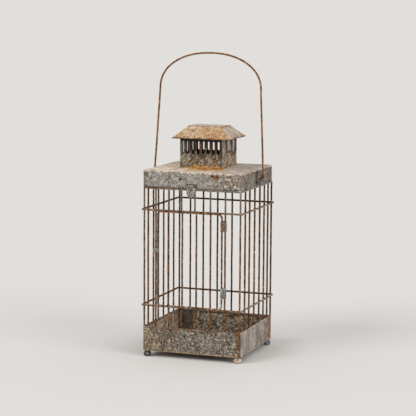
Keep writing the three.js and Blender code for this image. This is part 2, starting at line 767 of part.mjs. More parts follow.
// A sheet hook on the door's free wire that snaps over the cage wire beside it; it is open towards the back.
function addDoorCatch() {
  const cageWire = new THREE.Vector2(frontWire(2), -wireY);
  const doorWire = new THREE.Vector2(doorLeft, doorY);
  const wrap = doorRadius + RUNNING_GAP;
  const outside = cageWire.x - wireRadius - RUNNING_GAP;
  const line = [
    new THREE.Vector2(outside, cageWire.y + CATCH_REACH),
    new THREE.Vector2(outside, doorWire.y),
    new THREE.Vector2(outside + wrap, doorWire.y - wrap),
    ...arcPoints(doorWire.x, doorWire.y, wrap, -90, 90, 2 * CORNER_STEPS),
  ];
  const strip = bentSheet(line.reverse(), STRAP_SHEET, CATCH_HEIGHT);
  addPiece('door_catch', strip, agedZinc).position.z = lowerRingZ + CATCH_RISE;
}

addTray();
addFeet();
addCornerWires();
addSideWires();
addFrontWires();
addRings();
addLidBand();
addLidTop();
addChimney();
addRoof();
addEar('ear_left', -1);
addEar('ear_right', 1);
addBail();
addLidHinge('lid_hinge_left', -LID_HINGE_PLACE);
addLidHinge('lid_hinge_right', LID_HINGE_PLACE);
addHaspPlate();
addHaspPin();
addHaspFlap();
addDoorFrame();
addDoorBars();
addDoorStrap('door_strap_upper', upperRingZ - UPPER_STRAP_DROP, STRAP_CUT);
addDoorStrap('door_strap_lower', lowerRingZ + LOWER_STRAP_RISE, 0);
addDoorCatch();

// The door and its straps stand out in front, so the whole is moved to put the origin mid-base.
lantern.updateMatrixWorld(true);
const middle = new THREE.Box3().setFromObject(lantern, true).getCenter(new THREE.Vector3());
lantern.position.set(-middle.x, -middle.y, 0);

export default lantern;
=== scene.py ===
"""Looks of a square wire-cage lantern of rusted galvanised sheet and wire, in metres, in its own frame."""

import json
import math
from statistics import NormalDist

import bmesh
import bpy
from mathutils import Matrix, Vector, noise


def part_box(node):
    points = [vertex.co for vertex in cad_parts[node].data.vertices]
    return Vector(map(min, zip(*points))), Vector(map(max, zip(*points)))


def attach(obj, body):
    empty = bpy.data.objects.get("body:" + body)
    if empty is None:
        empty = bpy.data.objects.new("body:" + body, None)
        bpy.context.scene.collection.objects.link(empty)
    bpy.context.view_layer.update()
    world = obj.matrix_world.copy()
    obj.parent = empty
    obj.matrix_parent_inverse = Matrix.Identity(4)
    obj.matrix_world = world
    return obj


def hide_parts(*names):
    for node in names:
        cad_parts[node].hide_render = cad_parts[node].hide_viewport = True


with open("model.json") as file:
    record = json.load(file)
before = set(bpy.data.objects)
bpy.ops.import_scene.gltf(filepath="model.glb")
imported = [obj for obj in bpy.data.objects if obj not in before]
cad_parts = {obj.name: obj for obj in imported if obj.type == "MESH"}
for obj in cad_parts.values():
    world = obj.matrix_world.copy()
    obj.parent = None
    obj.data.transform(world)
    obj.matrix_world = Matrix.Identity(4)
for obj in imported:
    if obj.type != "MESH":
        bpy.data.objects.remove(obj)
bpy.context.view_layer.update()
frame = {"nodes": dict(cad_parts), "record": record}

BODY_OF = {node: body for body, nodes in frame["record"]["behaviour"]["bodies"].items() for node in nodes}
MM = 0.001

# Camera, at the photograph's viewing angle
VIEW_AZIMUTH = 19.89
VIEW_PITCH = 7.69
VIEW_ROLL = 0.362
VIEW_DISTANCE = 3.3258
VIEW_LENS = 144.36
VIEW_SENSOR = 36
VIEW_SHIFT = (0.00235, 0.00145)
VIEW_TARGET = (-0.001645, 0.001294, 0.28783)

# Wires
WIRE_RADIUS = 1.8 * MM
RING_RADIUS = 1.9 * MM
WIRE_SIDES = 14
WIRE_STEP = 2.5 * MM
WIRE_PITS = 0.07
WIRE_WANDER = 0.35 * MM
RING_WANDER = 0.15 * MM
DOOR_WANDER = 0.3 * MM
RING_CORNER = 4 * MM
DOOR_CORNER = 8 * MM
DOOR_BARS = 4

# The domed end of a wire: how far in and how wide, as shares of its radius
WIRE_END = ((0, 0.72), (0.4, 1))

# Weld beads
WELD_REACH = 1.9 * MM
RING_BEAD = Vector((2.5, 2.5, 1.9)) * MM
RIM_BEAD = Vector((2.1, 2.1, 1.6)) * MM
DOOR_BEAD = Vector((2.0, 2.0, 1.4)) * MM
BEAD_ROUGHNESS = 0.16
BEAD_RINGS = 6
BEAD_SIDES = 10

# Sheet pieces
SHEET = 0.9 * MM
OUTLINE_STEP = 3.5 * MM
TRAY_CORNERS = (4 * MM,) * 4
TRAY_ROW_STEP = 2.6 * MM
HEM_RADIUS = 1.9 * MM
HEM_PROUD = 0.6 * MM
HEM_CLEAR = 2.2 * MM
HEM_TURNS = range(-60, 241, 25)
FLOOR_INSET = 3 * MM
FLOOR_SCALES = (0.3, 0.7, 0.97)
LAP_SHEET = 0.5 * MM
TRAY_LAP_TOP = 28 * MM
TRAY_LAP_SPREAD = 17 * MM
LID_CORNERS = (13 * MM, 6 * MM, 6 * MM, 13 * MM)
LID_LIP = 1.6 * MM
LID_LIP_TURN = 0.7 * MM
LID_ROW_STEP = 2.4 * MM
LID_STEPS = 16
LID_SEAT_MARGIN = 5 * MM
FLUE_LEDGE = 8 * MM
FLUE_CORNER = 6 * MM
CHIMNEY_CORNER = 2 * MM
CHIMNEY_HEAD = 6 * MM
CHIMNEY_LAP_WIDTH = 18.5 * MM
CORNER_STEPS = 5
BAND_ROWS = 12
BAR_ROWS = 12
HEAD_ROWS = 2
SLOTS_PER_SIDE = 8
SEAM_SLOTS = 1
SLOT_PITCH = 10.5 * MM
SLOT_WIDTH = 5.2 * MM
SLOT_SILL = 27.6 * MM
SLOT_STEPS = 6
ROOF_TOP_HALF = (35 * MM, 24.5 * MM)
ROOF_CORNER = 1.2 * MM
ROOF_STEPS = 14
ROOF_TOP_SCALES = (0.94, 0.7, 0.35)
ROOF_TOP_SINK = 0.3 * MM
EAVE_EDGE = 1.2 * MM

# Rows of the tray's folded edge: inset and height in millimetres
OUTER_FOLD = ((1.2, 0), (0.35, 0.2), (0, 1.0))
INNER_FOLD = ((0.4, 1.1), (1.2, 0.9))

# Unevenness: each layer's height, the size of its waves in millimetres, and its seed
TRAY_WAVES = ((0.45, 42, 0), (0.2, 15, 4), (0.07, 4, 8))
LID_WAVES = ((0.35, 38, 2), (0.12, 13, 6), (0.05, 4, 9))
CHIMNEY_WAVES = ((0.3, 26, 1), (0.1, 6, 2))
ROOF_WAVES = ((0.45, 24, 7), (0.1, 6, 3))
WIRE_WAVES = ((0.6, 1.9, 0), (0.7, 6, 0))
METAL_WAVES = ((0.7, 1.3, 0), (0.5, 4, 0))

# Feet, whose profile is radius and height in millimetres
FOOT_PROFILE = (
    (0, 0), (3.6, 0), (4.5, 0.35), (6.3, 1.4), (7.4, 3.0), (7.75, 4.9), (7.6, 6.6),
    (6.7, 8.4), (5.4, 9.9), (5.0, 11.0), (5.1, 12.0), (0, 12.0),
)
FOOT_STEPS = 28

# Small hardware
METAL_VOXEL = 0.3 * MM
METAL_PITS = 0.07 * MM

# Bail
BAIL_RADIUS = 1.95 * MM
BAIL_WEAR = 0.08 * MM
BAIL_SHOULDER = 211 * MM
BAIL_LEG = 172 * MM
BAIL_FULLNESS = 2.15
BAIL_SKEW = 3 * MM
BAIL_BEND = 2.4 * MM
BAIL_HOOK = 5 * MM
BAIL_SIDE_GAP = 0.5 * MM
BAIL_LEG_STEPS = 60
BAIL_CROWN_STEPS = 72
EAR_SHEET = 1 * MM

# Grain of the finishes: layers of noise, and how strong each is beside the one before
GRAIN_DETAIL = 6
GRAIN_ROUGHNESS = 0.78
OCTAVE_SPREAD = 0.133
BUMP_STRENGTH = 0.5
BUMP_DEPTH = 0.3 * MM

# Rust spots on the lid's front: place and radius in millimetres
LID_SPOTS = (
    ((-21.5, -97.4, 357.0), 4.5),
    ((44.5, -97.4, 364.0), 5.8),
    ((53.5, -97.4, 364.5), 8.5),
    ((82.0, -97.4, 365.0), 3.5),
    ((96.0, -94.5, 363.0), 4.0),
)

# Floor and light
FLOOR_REACH = 400
SKY_COLOUR = (1, 0.99, 0.98, 1)
SKY_STRENGTH = 0.55
KEY_STRENGTH = 1.15
FILL_STRENGTH = 1.0


# Measures

def measured(node):
    """A node's lowest and highest corners, its middle and half its size."""
    low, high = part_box(node)
    return low, high, (low + high) / 2, (high - low) / 2


def at_height(place, z):
    return Vector((place.x, place.y, z))


def clamped(value, low=0.0, high=1.0):
    return min(max(value, low), high)


def fall(distance, reach, start=1):
    """The start value at no distance, less 1 for each reach, and never below 0."""
    return max(0, start - distance / reach)


def evenly(low, high, step):
    count = max(int(round((high - low) / step)), 1)
    return [low + (high - low) * i / count for i in range(count + 1)]


def sample(place, size, seed=0):
    """Smooth noise of about -1 to 1, with features of the given size."""
    return noise.noise(Vector(place) / size + Vector((seed, seed * 0.37, -seed)))


def waves(place, layers):
    return sum(height * sample(place, size * MM, seed) for height, size, seed in layers)


# Pieces

def add_object(name, data):
    made = bpy.data.objects.new(name, data)
    bpy.context.scene.collection.objects.link(made)
    return made


def stand_for(piece, node):
    """Rides a piece on its node's body, and hides the node."""
    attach(piece, BODY_OF[node])
    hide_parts(node)


def add_piece(node, mesh_data, material, name=None, smooth_angle=40):
    """Makes a piece, which stands for a node, from vertices and faces."""
    name = name or node + "_fine"
    vertices, faces = mesh_data
    mesh = bpy.data.meshes.new(name)
    mesh.from_pydata([tuple(v) for v in vertices], [], faces)
    shape = bmesh.new()
    shape.from_mesh(mesh)
    bmesh.ops.remove_doubles(shape, verts=shape.verts, dist=1e-6)
    bmesh.ops.recalc_face_normals(shape, faces=shape.faces)
    shape.to_mesh(mesh)
    shape.free()
    piece = add_object(name, mesh)
    mesh.materials.append(material)
    mesh.shade_smooth()
    mesh.set_sharp_from_angle(angle=math.radians(smooth_angle))
    stand_for(piece, node)
    return piece


def paint(piece, **tendencies):
    """Stores how strongly each point takes each finish, from 0 to 1, as a formula of its place gives it."""
    for name, tendency in tendencies.items():
        layer = piece.data.attributes.new(name, "FLOAT", "POINT")
        layer.data.foreach_set("value", [clamped(tendency(v.co)) for v in piece.data.vertices])


def everywhere(place):
    return 1


def merged(*parts):
    vertices, faces = [], []
    for some_vertices, some_faces in parts:
        start = len(vertices)
        vertices += some_vertices
        faces += [[start + i for i in face] for face in some_faces]
    return vertices, faces


def grid(rows, count, round_rows=True, closed=False, start=0):
    """Faces between rows of points. A closed grid joins its last row to its first."""
    faces = []
    for row in range(rows if closed else rows - 1):
        first, second = start + row * count, start + (row + 1) % rows * count
        for i in range(count if round_rows else count - 1):
            following = (i + 1) % count
            faces.append([first + i, first + following, second + following, second + i])
    return faces


def fan(start, count, tip):
    """Faces between a round row of points and one more point."""
    return [[start + i, start + (i + 1) % count, tip] for i in range(count)]


def thicken(piece, thickness, side, inner_material=None):
    """Gives a sheet its thickness, inwards with side -1, and its own finish within if there is one."""
    modifier = piece.modifiers.new("sheet", "SOLIDIFY")
    modifier.thickness = thickness
    modifier.offset = side
    modifier.use_even_offset = True
    if inner_material:
        piece.data.materials.append(inner_material)
        modifier.material_offset = 1


# Wires

def tube(points, radius, closed=False):
    """A wire along a line, pitted all over, with domed ends where it is open."""
    count = len(points)
    tangents = []
    for i, point in enumerate(points):
        back = points[i - 1] if closed or i else point
        ahead = points[(i + 1) % count] if closed or i < count - 1 else point
        tangents.append((ahead - back).normalized())
    normal = tangents[0].orthogonal().normalized()
    vertices = []
    for i, (point, tangent) in enumerate(zip(points, tangents)):
        normal = (normal - tangent * normal.dot(tangent)).normalized()
        across = tangent.cross(normal)
        rings = [(0, 1)]
        if not closed and i == 0:
            rings = WIRE_END
        elif not closed and i == count - 1:
            rings = [(-run, width) for run, width in reversed(WIRE_END)]
        for run, width in rings:
            centre = point + tangent * radius * run
            size = radius * width
            for side in range(WIRE_SIDES):
                angle = 2 * math.pi * side / WIRE_SIDES
                outward = normal * math.cos(angle) + across * math.sin(angle)
                rough = waves(centre + outward * size, WIRE_WAVES) - 0.4
                vertices.append(centre + outward * size * (1 + WIRE_PITS * rough))
    faces = grid(len(vertices) // WIRE_SIDES, WIRE_SIDES, closed=closed)
    if not closed:
        faces.append(list(range(WIRE_SIDES))[::-1])
        faces.append(list(range(len(vertices) - WIRE_SIDES, len(vertices))))
    return vertices, faces


def wandering(start, end, seed):
    """Points from start to end that stray a little, as in a wire straightened by hand."""
    steps = max(int((end - start).length / WIRE_STEP), 4)
    points = []
    for i in range(steps + 1):
        t = i / steps
        fade = math.sin(math.pi * t) ** 0.5
        point = start.lerp(end, t)
        level = (0, 0, point.z)
        stray_x = sample(level, 55 * MM, seed) + 0.4 * sample(level, 17 * MM, seed + 3)
        stray_y = sample(level, 48 * MM, seed + 9)
        points.append(point + Vector((stray_x, stray_y, 0)) * WIRE_WANDER * fade)
    return points


def rounded_line(half_x, half_y, corners, step):
    """Points and outward directions round a rectangle with round corners, from the front right one."""
    signs = ((1, -1), (1, 1), (-1, 1), (-1, -1))
    centres = [Vector((x * (half_x - r), y * (half_y - r), 0)) for (x, y), r in zip(signs, corners)]
    line = []
    for i, radius in enumerate(corners):
        turns = max(3, int(math.pi * radius / step))
        for j in range(turns + 1):
            angle = math.radians(-90 + 90 * i) + math.pi / 2 * j / turns
            outward = Vector((math.cos(angle), math.sin(angle), 0))
            line.append((centres[i] + outward * radius, outward))
        following = (i + 1) % 4
        begin, end = line[-1][0], centres[following] + outward * corners[following]
        steps = int((end - begin).length / step)
        line += [(begin.lerp(end, j / steps), outward) for j in range(1, steps)]
    return line


def wire_loop(centre, half_x, half_y):
    points = []
    for point, outward in rounded_line(half_x, half_y, (RING_CORNER,) * 4, WIRE_STEP):
        place = centre + point
        stray = sample(place, 40 * MM) * RING_WANDER
        rise = sample(place, 33 * MM, 5) * RING_WANDER
        points.append(place + outward * stray + Vector((0, 0, rise)))
    return tube(points, RING_RADIUS, closed=True)


def bead(centre, radii):
    """A small weld of uneven shape."""
    vertices = [centre + Vector((0, 0, radii.z))]
    for i in range(1, BEAD_RINGS):
        polar = math.pi * i / BEAD_RINGS
        for j in range(BEAD_SIDES):
            angle = 2 * math.pi * j / BEAD_SIDES
            flat = math.sin(polar)
            outward = Vector((flat * math.cos(angle), flat * math.sin(angle), math.cos(polar)))
            size = 1 + BEAD_ROUGHNESS * sample(centre + outward * radii.x, 1.6 * MM)
            vertices.append(centre + outward * radii * size)
    last = len(vertices)
    vertices.append(centre - Vector((0, 0, radii.z)))
    faces = grid(BEAD_RINGS - 1, BEAD_SIDES, start=1)
    return vertices, faces + fan(1, BEAD_SIDES, 0) + fan(last - BEAD_SIDES, BEAD_SIDES, last)


def add_upright(node, material):
    low, high, middle, _ = measured(node)
    seed = (middle.x + 3 * middle.y) / (10 * MM)
    rod = tube(wandering(at_height(middle, low.z), at_height(middle, high.z), seed), WIRE_RADIUS)
    return add_piece(node, rod, material)


def ring_beads(middle, half, wires):
    """Beads between a ring and each upright that it holds."""
    beads = []
    for node in wires:
        low, high, wire, _ = measured(node)
        if low.z - WIRE_RADIUS < middle.z < high.z + WIRE_RADIUS:
            away = wire - middle
            place = at_height(wire, middle.z)
            if half.x - abs(away.x) < 3 * WELD_REACH:
                place.x += math.copysign(WELD_REACH, away.x)
            if half.y - abs(away.y) < 3 * WELD_REACH:
                place.y += math.copysign(WELD_REACH, away.y)
            beads.append(bead(place, RING_BEAD * (1 + 0.25 * sample(place, 9 * MM))))
    return beads


def paint_ring(ring, middle, half, back_dark, left_grey, right_grey):
    """A ring has painted shade at the back, inside the cage, and is rubbed grey with painted highlights at
    the right and the front.
    """
    side = 5 * MM

    def is_right(place):
        return place.x > middle.x + half.x - side

    def is_front(place):
        return place.y < middle.y - half.y + side

    def grey(place):
        along = (place.x - middle.x) / half.x
        share = (left_grey * (1 - along) + right_grey * (1 + along)) / 2
        return share if is_front(place) or is_right(place) else 0

    paint(
        ring, grey=grey,
        # Painted shade at the back, inside the cage.
        dark=lambda place: back_dark if place.y > middle.y + half.y - side else 0,
        # Painted highlights at the right and the front.
        light=lambda place: 1 if is_right(place) else 0.6 * is_front(place),
    )


def add_rings(material, wires):
    # The upper ring, nearest the lid, gets the most painted shade at its back.
    for node, back_dark in (("lower_ring", 0.3), ("upper_ring", 0.9)):
        _, _, middle, half = measured(node)
        inset = RING_RADIUS + RING_WANDER
        loop = wire_loop(middle, half.x - inset, half.y - inset)
        ring = add_piece(node, merged(loop, *ring_beads(middle, half, wires)), material)
        paint_ring(ring, middle, half, back_dark, left_grey=0.2, right_grey=0.2)


def add_rim(material, wires):
    """The rim lies on the tops of the wires that reach it."""
    _, _, middle, half = measured("rim_wire")
    loop = wire_loop(middle, half.x - RING_RADIUS, half.y - RING_RADIUS)
    beads = []
    for node in wires:
        _, high, wire, _ = measured(node)
        if high.z > middle.z - 4 * RING_RADIUS:
            beads.append(bead(at_height(wire, high.z), RIM_BEAD))
    rim = add_piece("rim_wire", merged(loop, *beads), material)
    paint_ring(rim, middle, half, back_dark=0.2, left_grey=0.1, right_grey=0.9)


def add_door(material):
    low, _, centre, half = measured("door_frame")
    corners = (DOOR_CORNER,) * 4
    points = []
    for point, outward in rounded_line(half.x - WIRE_RADIUS, half.z - WIRE_RADIUS, corners, WIRE_STEP):
        place = Vector((centre.x + point.x, centre.y, centre.z + point.y))
        stray = DOOR_WANDER * sample(place, 45 * MM, 4)
        points.append(place + Vector((outward.x, 0, outward.y)) * stray)
    bars = [f"door_bar_{i + 1}" for i in range(DOOR_BARS)]
    beads = []
    for bar in bars:
        bar_low, bar_high, middle, _ = measured(bar)
        beads += [bead(Vector((middle.x, centre.y, z)), DOOR_BEAD) for z in (bar_low.z, bar_high.z)]
    loop = tube(points, WIRE_RADIUS, closed=True)
    door = add_piece("door_frame", merged(loop, *beads), material)
    paint(
        door, grey=lambda place: fall(place.x - low.x, 8 * MM, 0.9),
        # Painted highlights, strongest along the door's bottom wire.
        light=lambda place: 0.8 if place.z < low.z + 6 * MM else 0.3,
    )
    for bar in bars:
        add_upright(bar, material)


# Sheet

def add_sheet(node, mesh_data, material, inner_material, smooth_angle=40):
    piece = add_piece(node, mesh_data, material, smooth_angle=smooth_angle)
    thicken(piece, SHEET, -1, inner_material)
    return piece


def add_lap(name, node, material, place_at, columns, rows):
    """A doubled sheet on a node's wall, at the places for its shares across and along the wall."""
    vertices = [place_at(i / columns, j / rows) for j in range(rows + 1) for i in range(columns + 1)]
    faces = grid(rows + 1, columns + 1, round_rows=False)
    lap = add_piece(node, (vertices, faces), material, name)
    thicken(lap, LAP_SHEET, 1)
    return lap


def rows_round(line, centre, rows, dent):
    """Walls swept round an outline. Each row is an inset, a scale towards the middle, and a height."""
    vertices = []
    for inset, scale, z in rows:
        for point, outward in line:
            place = at_height(centre + (point - outward * inset) * scale, z)
            vertices.append(place + outward * dent(place) if scale == 1 else place)
    return vertices, grid(len(rows), len(line))


def capped(swept, count, centre, z, row):
    """Closes a swept surface with a fan from one of its rows to the middle."""
    vertices, faces = swept
    return vertices + [at_height(centre, z)], faces + fan(row * count, count, len(vertices))


# Tray

def tray_dent(place):
    """How far the tray's wall stands out of flat."""
    return (waves(place, TRAY_WAVES) - 0.15) * MM


def depth_in(place, low, high, corner):
    """How far a place lies within a box's upright walls, which meet in round corners."""
    from_x = corner - min(place.x - low.x, high.x - place.x)
    from_y = corner - min(place.y - low.y, high.y - place.y)
    if from_x > 0 and from_y > 0:
        return corner - math.hypot(from_x, from_y)
    return corner - max(from_x, from_y)


def tray_rows(low, high):
    """From the middle of the underside out, up the wall, round the hem, and down and in again."""
    wall, inner = HEM_PROUD, HEM_PROUD + SHEET
    hem_z = high - HEM_RADIUS
    wall_top = hem_z - HEM_CLEAR
    rows = [(FLOOR_INSET, scale, low) for scale in FLOOR_SCALES]
    rows += [(wall + inset * MM, 1, low + z * MM) for inset, z in OUTER_FOLD]
    rows += [(wall, 1, z) for z in evenly(low + 2.5 * MM, wall_top, TRAY_ROW_STEP)]
    for degrees in HEM_TURNS:
        turn = math.radians(degrees)
        rows.append((HEM_RADIUS - HEM_RADIUS * math.cos(turn), 1, hem_z + HEM_RADIUS * math.sin(turn)))
    rows += [(inner, 1, z) for z in reversed(evenly(low + 2.0 * MM, wall_top, TRAY_ROW_STEP))]
    rows += [(inner + inset * MM, 1, low + z * MM) for inset, z in INNER_FOLD]
    rows += [(FLOOR_INSET, scale, low + SHEET) for scale in reversed(FLOOR_SCALES)]
    return rows


def add_tray(material):
    low, high, centre, half = measured("tray")
    line = rounded_line(half.x, half.y, TRAY_CORNERS, OUTLINE_STEP)
    rows = tray_rows(low.z, high.z)
    swept = rows_round(line, centre, rows, tray_dent)
    swept = capped(swept, len(line), centre, low.z, 0)
    swept = capped(swept, len(line), centre, low.z + SHEET, len(rows) - 1)
    tray = add_piece("tray", swept, material, smooth_angle=50)

    def is_front(place):
        return place.y < low.y + 4 * MM

    def is_inside(place):
        depth = depth_in(place, low, high, TRAY_CORNERS[0]) + tray_dent(place)
        return depth > HEM_PROUD + SHEET / 2 and low.z + SHEET / 2 < place.z < high.z - 2 * HEM_RADIUS

    def is_right(place):
        return place.x > high.x - 2 * MM and not is_inside(place)

    def rust(place):
        bottom = 0.5 * fall(place.z - low.z, 4 * MM)
        far_end = 1.5 * fall(high.y - place.y, 70 * MM) if is_right(place) else 0
        left_end = 0.3 * fall(place.x - low.x, 26 * MM) if is_front(place) else 0
        return max(bottom, far_end, left_end)

    # Painted highlight: pale cream along the top and bottom edges of the right wall.
    def bright(place):
        edge = min(high.z - 1.5 * MM - place.z, place.z - low.z)
        return fall(abs(edge), 3 * MM) if is_right(place) else 0

    def olive(place):
        across, drop = (place.x - low.x) / MM, (high.z - place.z) / MM
        return min(across - 26, 84 - across, 32 - drop) / 12 if is_front(place) else 0

    def still(place):
        is_far = place.y > high.y - 5 * MM
        return (low.x + 34 * MM - place.x) / (2 * MM) if is_far and is_inside(place) else 0

    paint(
        tray, rust=rust, bright=bright, olive=olive, still=still, inside=is_inside,
        corner=lambda place: fall(math.hypot(place.x - high.x, place.y - low.y), 7 * MM, 1.3),
        hem=lambda place: fall(high.z - place.z, 3.4 * MM),
        plain=lambda place: is_right(place) and place.z < high.z - HEM_RADIUS,
        # Along the front's bottom edge: rust, with a pale painted highlight on the folded edge.
        sill=lambda place: fall(place.z - low.z, 3.5 * MM, 1.3) if is_front(place) else 0,
        tan=lambda place: is_inside(place) and place.x < low.x + 5 * MM,
    )


def add_tray_lap(material):
    """The folded-over corner of the tray's sheet, which lies on the front wall."""
    low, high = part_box("tray")
    top, bottom = high.z - 2 * HEM_RADIUS, low.z + 2 * MM
    left = low.x + 3 * MM

    def right_at(z):
        return low.x + TRAY_LAP_TOP + TRAY_LAP_SPREAD * max(0, (top - z) / (top - bottom)) ** 0.8

    def place_at(across, down):
        z = top + (bottom - top) * down
        wall = Vector((left + (right_at(z) - left) * across, low.y + HEM_PROUD, z))
        return wall - Vector((0, tray_dent(wall) + 0.55 * MM, 0))

    lap = add_lap("tray_lap", "tray", material, place_at, columns=14, rows=16)
    # A dark line along the lap's right edge: a dark joint, with painted shadow of the lap's step.
    paint(lap, lap=everywhere, seam=lambda place: fall(right_at(place.z) - place.x, 1.6 * MM))


def add_feet(materials):
    for node, material in materials.items():
        _, _, middle, _ = measured(node)
        vertices = []
        for radius, z in FOOT_PROFILE:
            for i in range(FOOT_STEPS):
                angle = 2 * math.pi * i / FOOT_STEPS
                out = Vector((math.cos(angle), math.sin(angle), 0)) * radius * MM
                swell = 1 + 0.03 * sample(at_height(middle + out, z * MM), 5 * MM) if 0 < z < 11 else 1
                vertices.append(at_height(middle + out * swell, z * MM))
        faces = grid(len(FOOT_PROFILE), FOOT_STEPS)
        foot = add_piece(node, (vertices, faces), material, smooth_angle=60)
        smooth = foot.modifiers.new("smooth", "SUBSURF")
        smooth.levels = 1
        smooth.render_levels = 1


# Lid

def lid_dent(place):
    return (waves(place, LID_WAVES) - 0.1) * MM


def add_lid_band(material, soot):
    low, high, centre, half = measured("lid_band")
    ear_y = measured("ear_right")[2].y
    line = rounded_line(half.x, half.y, LID_CORNERS, OUTLINE_STEP)
    rows = [(0.25 * MM, 1, low.z), (0, 1, low.z + 0.5 * MM)]
    rows += [(0, 1, z) for z in evenly(low.z + LID_ROW_STEP, high.z - 0.1 * MM, LID_ROW_STEP)]
    band = add_sheet("lid_band", rows_round(line, centre, rows, lid_dent), material, soot)

    def is_front(place):
        return place.y < centre.y

    def is_right(place, start=0):
        return place.x > high.x - 3 * MM and place.y > low.y + start

    def worn(place):
        if is_right(place, 14 * MM):
            return 0.35
        return (place.x - low.x - 112 * MM) / (70 * MM) if is_front(place) else 0.3

    def rust(place):
        left_end = 1.1 * fall(place.x - low.x, 34 * MM) if is_front(place) else 0
        bottom = 0.55 * fall(place.z - low.z, 2.5 * MM)
        back_end = 0.9 * fall(high.y - place.y, 70 * MM) if place.x > centre.x else 0.2
        return max(left_end, bottom, back_end)

    paint(
        band, worn=worn, rust=rust,
        # Painted shadow along the band's bottom edge, in the gap above the rim wire.
        under=lambda place: fall(place.z - low.z, 1.2 * MM, 1.3),
        stain=lambda place: fall(abs(place.y - ear_y + 2 * MM), 10 * MM) if is_right(place) else 0,
        shade=lambda place: is_right(place, 12 * MM),
    )


def add_lid_top(material, soot):
    """A lip, and a plate that rises from it to the chimney's seat and runs in to the flue hole."""
    low, high, centre, half = measured("lid_top")
    _, _, chimney_middle, chimney_half = measured("chimney")
    off = chimney_middle - centre
    seat = [chimney_half[k] + LID_SEAT_MARGIN for k in (0, 1)]
    hole = [chimney_half[k] - FLUE_LEDGE for k in (0, 1)]
    line = rounded_line(half.x, half.y, LID_CORNERS, OUTLINE_STEP)
    base = low.z + SHEET
    rise = high.z - low.z - SHEET

    def hole_edge(point):
        x, y = [clamped(point[k] * (hole[k] + FLUE_CORNER) / half[k], -hole[k], hole[k]) for k in (0, 1)]
        return Vector((off.x + x, off.y + y, 0))

    def climb(place):
        """How far up a place lies, from 0 at the outline to 1 at the seat."""
        beyond = []
        for k in (0, 1):
            away = place[k] - off[k]
            beyond.append(max(0, abs(away) - seat[k]) / (half[k] - seat[k] - math.copysign(off[k], away)))
        return 1 - max(beyond) ** 1.5

    lip = (
        (-0.3 * MM, low.z - LID_LIP), (-0.35 * MM, low.z - 0.3 * MM),
        (-0.1 * MM, base - 0.25 * MM), (LID_LIP_TURN, base),
    )
    vertices = []
    for inset, z in lip:
        for point, outward in line:
            place = at_height(centre, z) + point - outward * inset
            wave = 0.25 * MM * sample(place, 24 * MM, 3)
            vertices.append(place + outward * lid_dent(place) + Vector((0, 0, wave)))
    for step in range(1, LID_STEPS + 1):
        for point, outward in line:
            place = (point - outward * LID_LIP_TURN).lerp(hole_edge(point), step / LID_STEPS)
            up = climb(place)
            spot = at_height(centre + place, base + rise * up)
            wave = 0.3 * MM * sample(spot, 26 * MM, 3) * (1 - up)
            vertices.append(spot + Vector((0, 0, wave)))
    swept = (vertices, grid(len(lip) + LID_STEPS, len(line)))
    top = add_sheet("lid_top", swept, material, soot, smooth_angle=50)

    def bloom(place):
        along = place.x - centre.x - off.x
        beside = max(0, abs(along) - chimney_half.x) / (16 * MM)
        before = abs(centre.y + off.y - chimney_half.y - place.y - 2 * MM) / (44 * MM)
        return (1.1 - max(beside, before)) * (0.76 + 0.24 * clamped((along + 12 * MM) / (12 * MM), -1))

    def edge(place):
        return fall(place.y - low.y, 9 * MM) * (1 if place.x < centre.x else 0.4)

    def grey(place):
        return max((place.x - centre.x - 30 * MM) / (40 * MM), (place.y - centre.y) / (50 * MM))

    paint(top, bloom=bloom, edge=edge, grey=grey, lip=lambda place: place.z < base + 0.05 * MM)


# Chimney

def chimney_columns(half_x, half_y):
    """Points round the chimney, their outward directions, and the drop of each slot's round foot."""
    columns = []
    for index, heading in enumerate(((1, 0, 0), (0, 1, 0), (-1, 0, 0), (0, -1, 0))):
        along = Vector(heading)
        outward = Vector((along.y, -along.x, 0))
        half, depth = (half_y, half_x) if index % 2 else (half_x, half_y)
        places = []
        for i in range(SEAM_SLOTS if index == 1 else 0, SLOTS_PER_SIDE):
            middle = (i - (SLOTS_PER_SIDE - 1) / 2) * SLOT_PITCH
            for j in range(SLOT_STEPS + 1):
                angle = math.pi * j / SLOT_STEPS
                places.append((middle - SLOT_WIDTH / 2 * math.cos(angle), SLOT_WIDTH / 2 * math.sin(angle)))
            if i < SLOTS_PER_SIDE - 1:
                places.append((middle + SLOT_PITCH / 2, None))
        first, last = places[0][0], places[-1][0]
        straight = half - CHIMNEY_CORNER
        if first + straight > 1 * MM:
            places.insert(0, ((first - straight) / 2, None))
        if straight - last > 1 * MM:
            places.append(((last + straight) / 2, None))
        places = [(-straight, None)] + places + [(straight, None)]
        columns += [(outward * depth + along * at, outward, drop) for at, drop in places]
        turn_centre = outward * depth + along * straight - outward * CHIMNEY_CORNER
        for j in range(1, CORNER_STEPS):
            angle = math.pi / 2 * j / CORNER_STEPS
            facing = outward * math.cos(angle) + along * math.sin(angle)
            columns.append((turn_centre + facing * CHIMNEY_CORNER, facing, None))
    return columns


